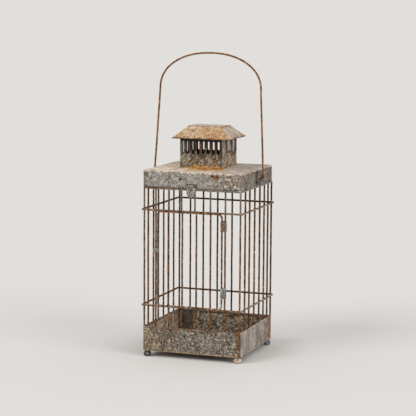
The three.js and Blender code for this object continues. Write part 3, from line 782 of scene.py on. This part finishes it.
def add_chimney(material, soot):
    """A plain band, the bars between the slots, and a head above them."""
    low, high, centre, half = measured("chimney")
    columns = chimney_columns(half.x, half.y)
    count = len(columns)
    shoulder = low.z + SLOT_SILL + SLOT_WIDTH / 2
    head = high.z - CHIMNEY_HEAD
    bars_end = BAND_ROWS + BAR_ROWS
    vertices, faces, index = [], [], {}

    def height(row, drop):
        if row <= BAND_ROWS:
            return low.z + (shoulder - drop - low.z) * row / BAND_ROWS
        if row <= bars_end:
            return shoulder + (head - shoulder) * (row - BAND_ROWS) / BAR_ROWS
        return head + (high.z - head) * (row - bars_end) / HEAD_ROWS

    def vertex(i, row):
        key = (i % count, row)
        if key not in index:
            point, outward, drop = columns[i % count]
            place = at_height(centre + point, height(row, drop or 0))
            along = Vector((-outward.y, outward.x, 0))
            bend = 0.35 * MM * sample((place.x, place.y, 0), 7 * MM, 3)
            bend *= max(0, place.z - shoulder) / (head - shoulder)
            swell = (waves(place, CHIMNEY_WAVES) - 0.15) * MM
            index[key] = len(vertices)
            vertices.append(place + outward * swell + along * bend)
        return index[key]

    for i in range(count):
        in_slot = None not in (columns[i][2], columns[(i + 1) % count][2])
        for row in range(bars_end + HEAD_ROWS):
            if not in_slot or not BAND_ROWS <= row < bars_end:
                corners = ((i, row), (i + 1, row), (i + 1, row + 1), (i, row + 1))
                faces.append([vertex(column, level) for column, level in corners])
    chimney = add_sheet("chimney", (vertices, faces), material, soot)

    def foot(place):
        front = 0.75 + 0.25 * clamped((place.x - centre.x + 14 * MM) / (10 * MM), -1)
        share = front if place.y < centre.y - half.y / 2 else 0.45
        return share * (1.2 - (place.z - low.z) / (9 * MM))

    paint(
        chimney, foot=foot,
        upper=lambda place: (place.z - shoulder + 16 * MM) / (12 * MM),
        corner=lambda place: fall(math.hypot(place.x - high.x, place.y - low.y), 2 * MM, 1.5),
        bars=lambda place: (place.z - shoulder + 5 * MM) / (9 * MM),
        # Painted shadow: the chimney's top, under the roof's eave, turns near black.
        soot=lambda place: (place.z - head + 2.5 * MM) / (2.5 * MM),
        side=lambda place: place.x > high.x - 1 * MM,
    )


def add_chimney_lap(material):
    """The end of the chimney's sheet, which laps over the front end of its right wall."""
    low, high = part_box("chimney")
    near, far = low.y + 1.5 * MM, low.y + CHIMNEY_LAP_WIDTH
    bottom, top = low.z + 0.3 * MM, high.z - 0.3 * MM

    def place_at(across, up):
        y, z = near + (far - near) * across, bottom + (top - bottom) * up
        wave = 0.1 * MM * sample((0, y, z), 12 * MM, 5)
        return Vector((high.x + 0.35 * MM + wave, y + 1.5 * wave, z))

    lap = add_lap("chimney_lap", "chimney", material, place_at, columns=6, rows=24)
    paint(lap, foot=lambda place: fall(place.z - low.z, 12 * MM, 0.5), side=everywhere, lap=everywhere)


# Roof

def add_roof(material, soot):
    """An upright eave, four sagging slopes and a sunken top."""
    low, high, centre, half = measured("roof")
    top_x, top_y = ROOF_TOP_HALF
    line = rounded_line(half.x, half.y, (ROOF_CORNER,) * 4, OUTLINE_STEP)

    def above(point, outward):
        """The point of the top's outline that an eave point's slope runs to."""
        if abs(outward.x) > abs(outward.y):
            return Vector((math.copysign(top_x, outward.x), point.y / half.y * top_y, 0))
        return Vector((point.x / half.x * top_x, math.copysign(top_y, outward.y), 0))

    vertices = []
    eave = ((0, 0.15 * MM), (EAVE_EDGE * 0.6, 0))
    for rise, inset in eave:
        for point, outward in line:
            place = at_height(centre, low.z + rise) + point - outward * inset
            wave = 0.35 * MM * (0.5 + 0.5 * sample(place, 24 * MM, 2))
            vertices.append(place + Vector((0, 0, wave)))
    slope_low = low.z + EAVE_EDGE
    for step in range(ROOF_STEPS + 1):
        t = step / ROOF_STEPS
        for point, outward in line:
            place = point.lerp(above(point, outward), t)
            spot = at_height(centre + place, slope_low + (high.z - slope_low) * t)
            sag = (waves(spot, ROOF_WAVES) - 0.5) * MM * math.sin(math.pi * t)
            vertices.append(spot + Vector((0, 0, sag)))
    for scale in ROOF_TOP_SCALES:
        for point, outward in line:
            spot = at_height(centre + above(point, outward) * scale, high.z)
            sink = ROOF_TOP_SINK * (1 + sample(spot, 20 * MM, 5)) * (1 - scale)
            vertices.append(spot - Vector((0, 0, sink)))
    rows = len(eave) + ROOF_STEPS + 1 + len(ROOF_TOP_SCALES)
    swept = (vertices, grid(rows, len(line)))
    swept = capped(swept, len(line), centre, high.z - ROOF_TOP_SINK, rows - 1)
    roof = add_sheet("roof", swept, material, soot, smooth_angle=25)

    def rise_of(place):
        return (place.z - low.z) / (high.z - low.z)

    def beyond_top(place):
        return abs(place.x - centre.x) - top_x, abs(place.y - centre.y) - top_y

    def is_plate(place):
        return rise_of(place) > 0.985

    def is_side(place):
        over_x, over_y = beyond_top(place)
        return over_x / (half.x - top_x) > over_y / (half.y - top_y) + 0.02 and not is_plate(place)

    def ridge(place):
        over_x, over_y = beyond_top(place)
        return fall(min(abs(over_x), abs(over_y)), 1.2 * MM, 1.2) if rise_of(place) > 0.93 else 0

    def on_front(share, place):
        return share if place.y < centre.y else 0.2

    paint(
        roof, plate=is_plate, ridge=ridge, side=is_side,
        cream=lambda place: on_front(fall(abs(place.x - centre.x + 22 * MM), 26 * MM), place),
        rust=lambda place: on_front(0.5 * fall(rise_of(place), 0.5), place),
        eave=lambda place: fall(place.z - low.z, 3.2 * MM, 1.2),
    )


# Small hardware

def add_hardware(node, material):
    """A worn copy of a small solid: soft edges, pitted faces."""
    piece = add_object(node + "_fine", frame["nodes"][node].data.copy())
    remesh = piece.modifiers.new("remesh", "REMESH")
    remesh.mode = "VOXEL"
    remesh.voxel_size = METAL_VOXEL
    smooth = piece.modifiers.new("smooth", "SMOOTH")
    smooth.factor = 0.5
    smooth.iterations = 2
    graph = bpy.context.evaluated_depsgraph_get()
    worn = bpy.data.meshes.new_from_object(piece.evaluated_get(graph))
    piece.modifiers.clear()
    piece.data = worn
    for vertex, normal in zip(worn.vertices, [v.normal.copy() for v in worn.vertices]):
        vertex.co += normal * METAL_PITS * (waves(vertex.co, METAL_WAVES) - 1)
    worn.shade_smooth()
    worn.materials.clear()
    worn.materials.append(material)
    stand_for(piece, node)


# Bail

def arc(x, z, radius, start, end, steps):
    angles = [math.radians(start + (end - start) * i / steps) for i in range(steps + 1)]
    return [(x + radius * math.cos(angle), z + radius * math.sin(angle)) for angle in angles]


def bail_half(lid_side, ear_reach, crown):
    """Points across and up from the pivot: the hook through the ear, the leg and half the crown."""
    hook_x = lid_side + (ear_reach - EAR_SHEET) / 2
    foot_x = lid_side + ear_reach + BAIL_SIDE_GAP + BAIL_RADIUS
    line = [(hook_x, -BAIL_HOOK), (hook_x, -BAIL_HOOK * 0.75)]
    line += arc(hook_x + BAIL_BEND, -BAIL_BEND, BAIL_BEND, 180, 90, 8)
    line += arc(foot_x - BAIL_BEND, BAIL_BEND, BAIL_BEND, -90, 0, 8)
    bend_x, bend_z = line[-1]
    shoulder = BAIL_SHOULDER / 2
    for i in range(1, BAIL_LEG_STEPS):
        t = i / BAIL_LEG_STEPS
        line.append((bend_x + (shoulder - bend_x) * t, bend_z + (BAIL_LEG - bend_z) * t))
    power = 2 / BAIL_FULLNESS
    for i in range(BAIL_CROWN_STEPS // 2):
        angle = math.pi * i / BAIL_CROWN_STEPS
        line.append((shoulder * math.cos(angle) ** power, BAIL_LEG + crown * math.sin(angle) ** power))
    return line


def add_bail(material):
    low, high, middle, _ = measured("bail")
    _, lid_high, lid_middle, lid_half = measured("lid_band")
    ear_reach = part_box("ear_right")[1].x - lid_high.x
    pivot_z = low.z + BAIL_HOOK
    crown = high.z - BAIL_RADIUS - pivot_z - BAIL_LEG
    half = bail_half(lid_half.x, ear_reach, crown)

    def place(x, z):
        lean = BAIL_SKEW * clamped(z / BAIL_LEG)
        free = clamped(z / (20 * MM))
        stray = 0.5 * MM * free * sample((x, 0, z), 60 * MM, 2)
        sway = 0.4 * MM * free * sample((x, 0, z), 70 * MM, 6)
        return Vector((lid_middle.x + x + lean + stray, middle.y + sway, pivot_z + z))

    points = [place(x, z) for x, z in half] + [place(0, BAIL_LEG + crown)]
    points += [place(-x, z) for x, z in reversed(half)]
    add_piece("bail", tube(points, BAIL_RADIUS - BAIL_WEAR), material)


# Finishes

def srgb(red, green, blue):
    """A colour given in 0 to 255 as a screen shows it."""
    shares = [value / 255 for value in (red, green, blue)]
    return tuple(s / 12.92 if s <= 0.04045 else ((s + 0.055) / 1.055) ** 2.4 for s in shares) + (1,)


def add_node(tree, kind, inputs, **settings):
    """Adds a shader node, and feeds its sockets with values or with other nodes' outputs."""
    node = tree.nodes.new(kind)
    for name, value in settings.items():
        setattr(node, name, value)
    for socket, value in inputs.items():
        if isinstance(value, bpy.types.NodeSocket):
            tree.links.new(value, node.inputs[socket])
        else:
            node.inputs[socket].default_value = value
    return node


def noise_spread(detail, rough):
    """The standard deviation of a noise texture that adds finer layers, each weaker by the share given."""
    layers = [rough ** i for i in range(detail + 1)]
    return OCTAVE_SPREAD * math.hypot(*layers) / sum(layers)


class Finish:
    """A node material whose patterns lie in the part's own coordinates, with sizes in millimetres."""

    def __init__(self, name, metallic=0.1):
        self.material = bpy.data.materials.new(name)
        self.material.use_nodes = True
        self.tree = self.material.node_tree
        self.surface = self.tree.nodes["Principled BSDF"]
        self.surface.inputs["Metallic"].default_value = metallic
        self.place = add_node(self.tree, "ShaderNodeTexCoord", {}).outputs["Object"]
        self.colour = None
        self.shares = []

    def speckle(self, size, detail=6, rough=0.75, stretch=(1, 1, 1), seed=0.0, distortion=0.0):
        """Noise whose largest features have about the given size."""
        mapping = {"Vector": self.place, "Scale": [1 / s for s in stretch]}
        mapping["Location"] = (seed, seed * 0.7, seed * 0.3)
        moved = add_node(self.tree, "ShaderNodeMapping", mapping)
        pattern = {"Vector": moved.outputs["Vector"], "Scale": 1 / (size * MM)}
        pattern |= {"Detail": detail, "Roughness": rough, "Distortion": distortion}
        return add_node(self.tree, "ShaderNodeTexNoise", pattern).outputs["Fac"]

    def levels(self, value, low, high, to_low=0.0, to_high=1.0):
        limits = {"From Min": low, "From Max": high, "To Min": to_low, "To Max": to_high}
        node = add_node(self.tree, "ShaderNodeMapRange", {"Value": value} | limits, clamp=True)
        return node.outputs["Result"]

    def math(self, operation, first, second):
        node = add_node(self.tree, "ShaderNodeMath", {0: first, 1: second}, operation=operation)
        return node.outputs["Value"]

    def ramp(self, value, stops):
        node = add_node(self.tree, "ShaderNodeValToRGB", {"Fac": value})
        elements = node.color_ramp.elements
        elements[0].position, elements[0].color = stops[0]
        elements[1].position, elements[1].color = stops[-1]
        for position, colour in stops[1:-1]:
            elements.new(position).color = colour
        return node.outputs["Color"]

    def mix(self, share, first, second):
        """The mix node's sockets 6, 7 and 2 are those of its colours."""
        node = add_node(self.tree, "ShaderNodeMix", {0: share, 6: first, 7: second}, data_type="RGBA")
        return node.outputs[2]

    def painted(self, name):
        return add_node(self.tree, "ShaderNodeAttribute", {}, attribute_name=name).outputs["Fac"]

    def spot(self, centre, radius):
        """1 at a point, falling to 0 at the radius."""
        away = add_node(self.tree, "ShaderNodeVectorMath", {0: self.place, 1: centre}, operation="DISTANCE")
        return self.levels(away.outputs["Value"], 0.0, radius, 1.0, 0.0)

    def tones(self, *colours, size=8, rough=GRAIN_ROUGHNESS, stretch=(1, 1, 1), seed=0.0):
        """A grain of many sizes that runs through the colours, or one plain colour."""
        if len(colours) == 1:
            return srgb(*colours[0])
        grain = self.speckle(size, GRAIN_DETAIL, rough, stretch, 10 + seed)
        reach = 1.5 * noise_spread(GRAIN_DETAIL, rough)
        step = 2 * reach / (len(colours) - 1)
        stops = [(0.5 - reach + i * step, srgb(*colour)) for i, colour in enumerate(colours)]
        return self.ramp(grain, stops)

    def lay(self, share, colour):
        self.colour = self.mix(share, self.colour, colour)

    def over(self, name, *colours, strength=1.0, **grain):
        """Lays a grain of colours where the mesh is painted for it."""
        share = self.painted(name)
        if strength < 1:
            share = self.math("MULTIPLY", share, strength)
        self.lay(share, self.tones(*colours, **grain))

    def patches(self, *colours, size, cover, where=None, force=2, stretch=(1, 1, 1), seed=0, soft=0.35):
        """Lays patches that cover the share given, and more where the mesh is painted for them."""
        spread = noise_spread(GRAIN_DETAIL, GRAIN_ROUGHNESS)
        shape = self.speckle(size, GRAIN_DETAIL, GRAIN_ROUGHNESS, stretch, 30 + seed, distortion=0.3)
        if where:
            shape = self.math("ADD", shape, self.math("MULTIPLY", self.painted(where), force * spread))
        edge = NormalDist(0.5, spread).inv_cdf(1 - cover)
        share = self.levels(shape, edge - soft * spread, edge + soft * spread)
        self.shares.append(share)
        self.lay(share, self.tones(*colours, size=size / 2, seed=seed + 5))

    def finish(self, roughness=0.72):
        self.tree.links.new(self.colour, self.surface.inputs["Base Color"])
        self.surface.inputs["Roughness"].default_value = roughness
        height = self.speckle(2.5, detail=3, rough=0.6, seed=50)
        for share in self.shares:
            height = self.math("ADD", height, self.math("MULTIPLY", share, 0.2))
        relief = {"Strength": BUMP_STRENGTH, "Distance": BUMP_DEPTH, "Height": height}
        bump = add_node(self.tree, "ShaderNodeBump", relief)
        self.tree.links.new(bump.outputs["Normal"], self.surface.inputs["Normal"])
        return self.material


def tray_zinc():
    look = Finish("tray_zinc")
    look.colour = look.tones((22, 17, 8), (88, 80, 66), (166, 163, 154), size=5, rough=0.85)
    look.over("olive", (26, 19, 8), (74, 63, 43), (126, 115, 92), size=5, rough=0.85, seed=2, strength=0.8)
    look.over("lap", (44, 32, 16), (106, 88, 65), (176, 162, 138), size=5, rough=0.85, seed=11)
    look.patches((186, 184, 174), (222, 220, 212), size=3.6, cover=0.06, seed=5)
    look.patches((34, 26, 16), (62, 48, 30), size=5, cover=0.06, seed=6)
    look.patches((92, 62, 26), (148, 106, 56), size=5, cover=0.12, seed=14)
    look.over("inside", (50, 38, 24), (122, 108, 91), (210, 201, 184), size=5, rough=0.85, seed=12)
    look.patches((48, 35, 17), (84, 68, 44), size=15, cover=0.004, seed=18,
                 where="inside", force=2.1, soft=0.5)
    look.over("tan", (112, 92, 70), (170, 148, 126), (222, 206, 186), size=12, seed=13)
    look.over("plain", (122, 111, 102), (148, 139, 130), (174, 167, 160), size=26, stretch=(1, 1, 2), seed=3)
    # Painted highlights along the right wall's top and bottom edges.
    look.patches((206, 198, 184), (232, 226, 214), size=5, cover=0.02, where="bright", force=2.6, seed=15)
    look.patches((84, 50, 24), (142, 92, 48), size=8, cover=0.03, where="rust", force=2.4, seed=7)
    # Front bottom edge: brown rust rising to a pale painted highlight.
    look.patches((134, 100, 66), (196, 168, 136), size=9, cover=0.004, seed=19,
                 where="sill", force=4.2, soft=0.7)
    look.over("still", (66, 59, 47), (95, 86, 72), (122, 113, 98), size=14, rough=0.7, seed=4)
    look.patches((46, 29, 16), (90, 55, 28), (140, 92, 52), size=6, cover=0.01, stretch=(1, 1, 3), seed=16,
                 where="corner", force=3.6)
    look.patches((96, 58, 28), (160, 108, 62), size=7, cover=0.01, where="hem", force=2.9, seed=8)
    # Dark joint and painted shadow along the lap's edge.
    look.over("seam", (52, 38, 24), strength=0.85)
    return look.finish()


def lid_zinc():
    look = Finish("lid_zinc")
    look.colour = look.tones((108, 104, 97), (150, 146, 139), (184, 181, 175), size=5, rough=0.85)
    worn = look.tones((62, 46, 28), (130, 116, 96), (208, 197, 176), size=7, seed=2)
    rubbed = look.levels(look.speckle(12, seed=9), 0.42, 0.56, 0.3, 1.2)
    look.lay(look.math("MULTIPLY", look.painted("worn"), rubbed), worn)
    look.over("shade", (72, 66, 56), (114, 107, 95), (154, 149, 139), size=12, stretch=(1, 1.2, 1.6), seed=3)
    look.patches((84, 70, 50), (120, 104, 80), size=8, cover=0.05, where="rust", seed=4)
    look.patches((100, 60, 28), (168, 110, 58), size=8, cover=0.008, where="worn", force=1.5, seed=5)
    look.patches((36, 38, 44), (66, 70, 80), size=7, cover=0.006, where="worn", force=1.4, seed=6)
    # Cream patches: worn zinc, and painted highlight where the front-right corner rounds.
    look.patches((210, 204, 192), (232, 228, 220), size=6, cover=0.01, where="worn", force=0.9, seed=10)
    look.patches((22, 22, 24), (66, 50, 36), (110, 74, 42), size=8, cover=0.01, stretch=(1, 1, 1.6), seed=17,
                 where="stain", force=3.4)
    # Painted shadow along the band's bottom edge.
    look.over("under", (44, 34, 25), strength=0.85)
    ragged = look.math("MULTIPLY", look.speckle(7, seed=7), 2.2)
    brown = look.tones((44, 27, 13), (98, 59, 28), (150, 100, 55), size=4, seed=8)
    for place, radius in LID_SPOTS:
        blot = look.math("ADD", look.spot(Vector(place) * MM, radius * MM), ragged)
        look.lay(look.levels(blot, 1.42, 1.52), brown)
    return look.finish()


def lid_top_zinc():
    look = Finish("lid_top_zinc")
    look.colour = look.tones((184, 162, 138), (221, 204, 186), (240, 229, 216), size=14)
    look.over("grey", (152, 134, 120), (183, 168, 156), (208, 196, 186), size=22, seed=2, strength=0.95)
    look.patches((176, 132, 88), (206, 168, 126), size=9, cover=0.03, where="edge", force=1.3, seed=4)
    look.patches((204, 160, 108), (232, 200, 154), size=20, cover=0.01, seed=9,
                 where="bloom", force=4.4, soft=0.9)
    look.patches((140, 84, 34), (208, 146, 74), size=14, cover=0.003, seed=5,
                 where="bloom", force=3.9, soft=0.6)
    look.over("lip", (128, 106, 80), (196, 180, 158), (238, 228, 212), seed=3)
    look.patches((62, 46, 28), (110, 86, 60), size=6, cover=0.03, where="lip", force=0.9, seed=6)
    return look.finish()


def chimney_zinc():
    look = Finish("chimney_zinc")
    look.colour = look.tones((40, 31, 18), (108, 98, 80), (170, 164, 146), size=6)
    look.over("side", (80, 62, 40), (150, 132, 107), (204, 192, 170), size=9, stretch=(1, 1.3, 1.4), seed=2)
    look.patches((92, 58, 26), (150, 100, 50), size=8, cover=0.14, seed=6)
    look.patches((196, 188, 166), (222, 214, 196), size=6, cover=0.04, seed=7)
    look.patches((30, 22, 14), (64, 46, 28), size=9, cover=0.04, where="upper", force=1.5, seed=10)
    bars = look.tones((12, 9, 8), (40, 28, 19), (108, 70, 40), size=10, stretch=(1, 1, 2), seed=4)
    side_bars = look.tones((66, 48, 36), (118, 96, 78), (172, 154, 134), size=12, stretch=(1, 1, 2), seed=5)
    look.lay(look.painted("bars"), look.mix(look.painted("side"), bars, side_bars))
    look.over("lap", (96, 82, 66), (152, 140, 122), (206, 198, 182), seed=3)
    look.patches((84, 52, 26), (132, 86, 46), size=8, cover=0.05, where="lap", force=0.8, seed=8)
    look.patches((168, 108, 44), (236, 188, 116), size=8, cover=0.004, seed=9,
                 where="foot", force=3.6, soft=0.6)
    look.over("corner", (44, 29, 16), strength=0.8)
    # Painted shadow under the eave, near black.
    look.over("soot", (20, 15, 12))
    return look.finish()


def roof_zinc():
    look = Finish("roof_zinc")
    look.colour = look.tones((148, 102, 58), (188, 151, 108), (216, 194, 156), size=5, rough=0.85)
    look.patches((196, 182, 154), (220, 208, 184), size=9, cover=0.05, seed=4,
                 where="cream", force=1.8, soft=1.1)
    look.patches((150, 94, 44), (188, 128, 70), size=8, cover=0.12, seed=5,
                 where="rust", force=1.7, soft=0.9)
    look.patches((82, 52, 26), (128, 88, 50), size=6, cover=0.015, seed=6)
    look.over("side", (160, 140, 118), (184, 168, 149), (206, 193, 176), size=20, seed=2, strength=0.9)
    look.over("plate", (166, 144, 125), (196, 177, 160), (219, 204, 189), size=26, seed=3)
    look.patches((104, 70, 42), (150, 110, 74), size=14, cover=0.004, where="ridge", force=4.5, seed=7)
    look.patches((74, 48, 28), (136, 92, 52), size=14, cover=0.012, where="eave", force=4.8, seed=8)
    return look.finish()


def foot_zinc(name, *colours):
    look = Finish(name)
    look.colour = look.tones(*colours)
    look.patches((90, 58, 32), (140, 98, 60), size=6, cover=0.1, seed=5)
    return look.finish()


def hardware_zinc(name, *colours, rust):
    look = Finish(name, metallic=0.15)
    look.colour = look.tones(*colours, size=6)
    look.patches((66, 40, 20), (122, 80, 46), size=6, cover=rust, seed=5)
    # Pale blue-grey flecks: bare steel, and painted glints.
    look.patches((140, 148, 158), (190, 196, 202), size=5, cover=0.06, seed=6)
    return look.finish(roughness=0.55)


def wire_finish(name, *colours, flecks):
    """Rusted wire: brown scale with fine orange flecks, and pale flecks of painted highlight where it is
    painted light.
    """
    look = Finish(name)
    look.surface.inputs["Specular IOR Level"].default_value = 0.15
    look.colour = look.tones(*colours, size=9, rough=0.85, seed=2)
    # Pale flecks of painted highlight where the wire is painted light.
    look.patches((172, 148, 120), (212, 200, 182), size=5, cover=0.04, where="light", force=1.5, seed=3)
    look.patches((130, 82, 38), (176, 124, 68), size=4, cover=flecks, seed=4)
    look.over("grey", (86, 82, 76), (122, 118, 110), (160, 158, 152), seed=6)
    # Painted shade where the mesh is painted dark.
    look.over("dark", (22, 14, 10), (46, 32, 22), seed=7, strength=0.85)
    return look.finish(roughness=0.75)


def soot_finish():
    look = Finish("soot", metallic=0)
    thick = srgb(38, 32, 26)
    thin = tuple(share * 0.85 for share in thick[:3]) + (1,)
    look.colour = look.ramp(look.speckle(30, detail=2), ((0.3, thin), (0.7, thick)))
    return look.finish(roughness=0.9)


# Floor, light and camera

def add_floor():
    corners = [(x * FLOOR_REACH, y * FLOOR_REACH, 0) for x, y in ((-1, -1), (1, -1), (1, 1), (-1, 1))]
    mesh = bpy.data.meshes.new("floor")
    mesh.from_pydata(corners, [], [(0, 1, 2, 3)])
    floor = add_object("floor", mesh)
    material = bpy.data.materials.new("floor")
    material.use_nodes = True
    surface = material.node_tree.nodes["Principled BSDF"]
    surface.inputs["Base Color"].default_value = srgb(232, 230, 227)
    surface.inputs["Roughness"].default_value = 1
    surface.inputs["Specular IOR Level"].default_value = 0
    mesh.materials.append(material)


def add_sun(name, toward, strength, spread):
    lamp = bpy.data.lights.new(name, "SUN")
    lamp.energy = strength
    lamp.angle = math.radians(spread)
    add_object(name, lamp).rotation_euler = Vector(toward).to_track_quat("Z", "Y").to_euler()


def add_world():
    """An even pale sky, whose seen part is as pale as the floor."""
    world = bpy.data.worlds.new("studio")
    bpy.context.scene.world = world
    world.use_nodes = True
    tree = world.node_tree
    light = tree.nodes["Background"]
    light.inputs["Color"].default_value = SKY_COLOUR
    light.inputs["Strength"].default_value = SKY_STRENGTH
    seen = add_node(tree, "ShaderNodeBackground", {"Color": srgb(227, 225, 222)})
    path = add_node(tree, "ShaderNodeLightPath", {})
    share = path.outputs["Is Camera Ray"]
    for kind in ("Is Glossy Ray", "Is Transmission Ray"):
        either = add_node(tree, "ShaderNodeMath", {0: share, 1: path.outputs[kind]}, operation="MAXIMUM")
        share = either.outputs["Value"]
    skies = {"Fac": share, 1: light.outputs["Background"], 2: seen.outputs["Background"]}
    mix = add_node(tree, "ShaderNodeMixShader", skies)
    tree.links.new(mix.outputs["Shader"], tree.nodes["World Output"].inputs["Surface"])


def add_camera():
    turn = Matrix.Identity(4)
    for degrees, axis in ((VIEW_AZIMUTH, "Z"), (90 - VIEW_PITCH, "X"), (VIEW_ROLL, "Z")):
        turn @= Matrix.Rotation(math.radians(degrees), 4, axis)
    lens = bpy.data.cameras.new("photo_view")
    lens.lens = VIEW_LENS
    lens.sensor_width = VIEW_SENSOR
    lens.sensor_fit = "HORIZONTAL"
    lens.shift_x, lens.shift_y = VIEW_SHIFT
    lens.clip_end = 1000
    camera = add_object("photo_view", lens)
    camera.matrix_world = Matrix.Translation(VIEW_TARGET) @ turn @ Matrix.Translation((0, 0, VIEW_DISTANCE))
    bpy.context.scene.camera = camera


bpy.context.scene.view_settings.view_transform = "Standard"
add_camera()
add_world()
add_floor()
add_sun("key", (-0.45, -0.65, 0.61), KEY_STRENGTH, 30)
add_sun("fill", (0.8, -0.3, 0.5), FILL_STRENGTH, 40)

soot = soot_finish()
brown_wire = wire_finish("wire_rust", (26, 12, 2), (74, 38, 10), (136, 84, 36), flecks=0.12)
# The back wires' copy is darker: rust, with painted shade inside the cage.
dark_wire = wire_finish("wire_rust_dark", (14, 6, 1), (46, 23, 5), (92, 52, 18), flecks=0.04)
tan_wire = wire_finish("wire_rust_tan", (40, 21, 5), (90, 56, 24), (154, 110, 62), flecks=0.16)
bail_wire = wire_finish("wire_rust_bail", (62, 36, 14), (112, 72, 37), (164, 120, 70), flecks=0.16)


def grey_above(place):
    """The front wires are rusted low down and rubbed grey higher up."""
    return min((place.z - 230 * MM) / (80 * MM), 1) * 0.45


cage_wires = [n for n in frame["nodes"] if "_wire_" in n and BODY_OF[n] == "cage"]
for wire in cage_wires:
    if wire.startswith(("front", "corner_wire_front")):
        paint(add_upright(wire, tan_wire), grey=grey_above)
    elif wire.startswith("back") or "rear" in wire:
        add_upright(wire, dark_wire)
    else:
        add_upright(wire, brown_wire)
add_rings(brown_wire, cage_wires)
add_rim(brown_wire, cage_wires)
tray_finish = tray_zinc()
add_tray(tray_finish)
add_tray_lap(tray_finish)
add_feet({
    "foot_front_left": foot_zinc("foot_dark", (26, 25, 25), (66, 64, 63), (124, 122, 120)),
    "foot_front_right": foot_zinc("foot_cream", (110, 92, 70), (186, 170, 148), (230, 222, 208)),
    "foot_rear_left": foot_zinc("foot_grey", (60, 54, 46), (110, 102, 90), (160, 152, 140)),
    "foot_rear_right": foot_zinc("foot_blue", (30, 32, 38), (66, 70, 80), (140, 150, 164)),
})
add_lid_band(lid_zinc(), soot)
add_lid_top(lid_top_zinc(), soot)
chimney_finish = chimney_zinc()
add_chimney(chimney_finish, soot)
add_chimney_lap(chimney_finish)
add_roof(roof_zinc(), soot)
add_bail(bail_wire)
add_door(brown_wire)
dark_metal = hardware_zinc("dark_metal", (30, 26, 24), (80, 72, 64), (142, 138, 132), rust=0.2)
grey_metal = hardware_zinc("grey_metal", (84, 78, 68), (136, 128, 116), (186, 182, 172), rust=0.12)
brown_metal = hardware_zinc("brown_metal", (52, 34, 20), (104, 76, 50), (150, 126, 98), rust=0.3)
ear_metal = hardware_zinc("ear_metal", (10, 8, 8), (36, 25, 17), (96, 66, 40), rust=0.35)
strap_metal = hardware_zinc("strap_metal", (86, 84, 80), (136, 134, 128), (186, 186, 182), rust=0.12)
catch_metal = hardware_zinc("catch_metal", (92, 94, 80), (130, 132, 116), (168, 170, 154), rust=0.06)
HARDWARE = {
    "ear_left": ear_metal, "ear_right": ear_metal,
    "lid_hinge_left": grey_metal, "lid_hinge_right": grey_metal,
    "hasp_plate": dark_metal, "hasp_pin": dark_metal, "hasp_flap": grey_metal,
    "door_strap_upper": brown_metal, "door_strap_lower": strap_metal, "door_catch": catch_metal,
}
for hardware, metal in HARDWARE.items():
    add_hardware(hardware, metal)
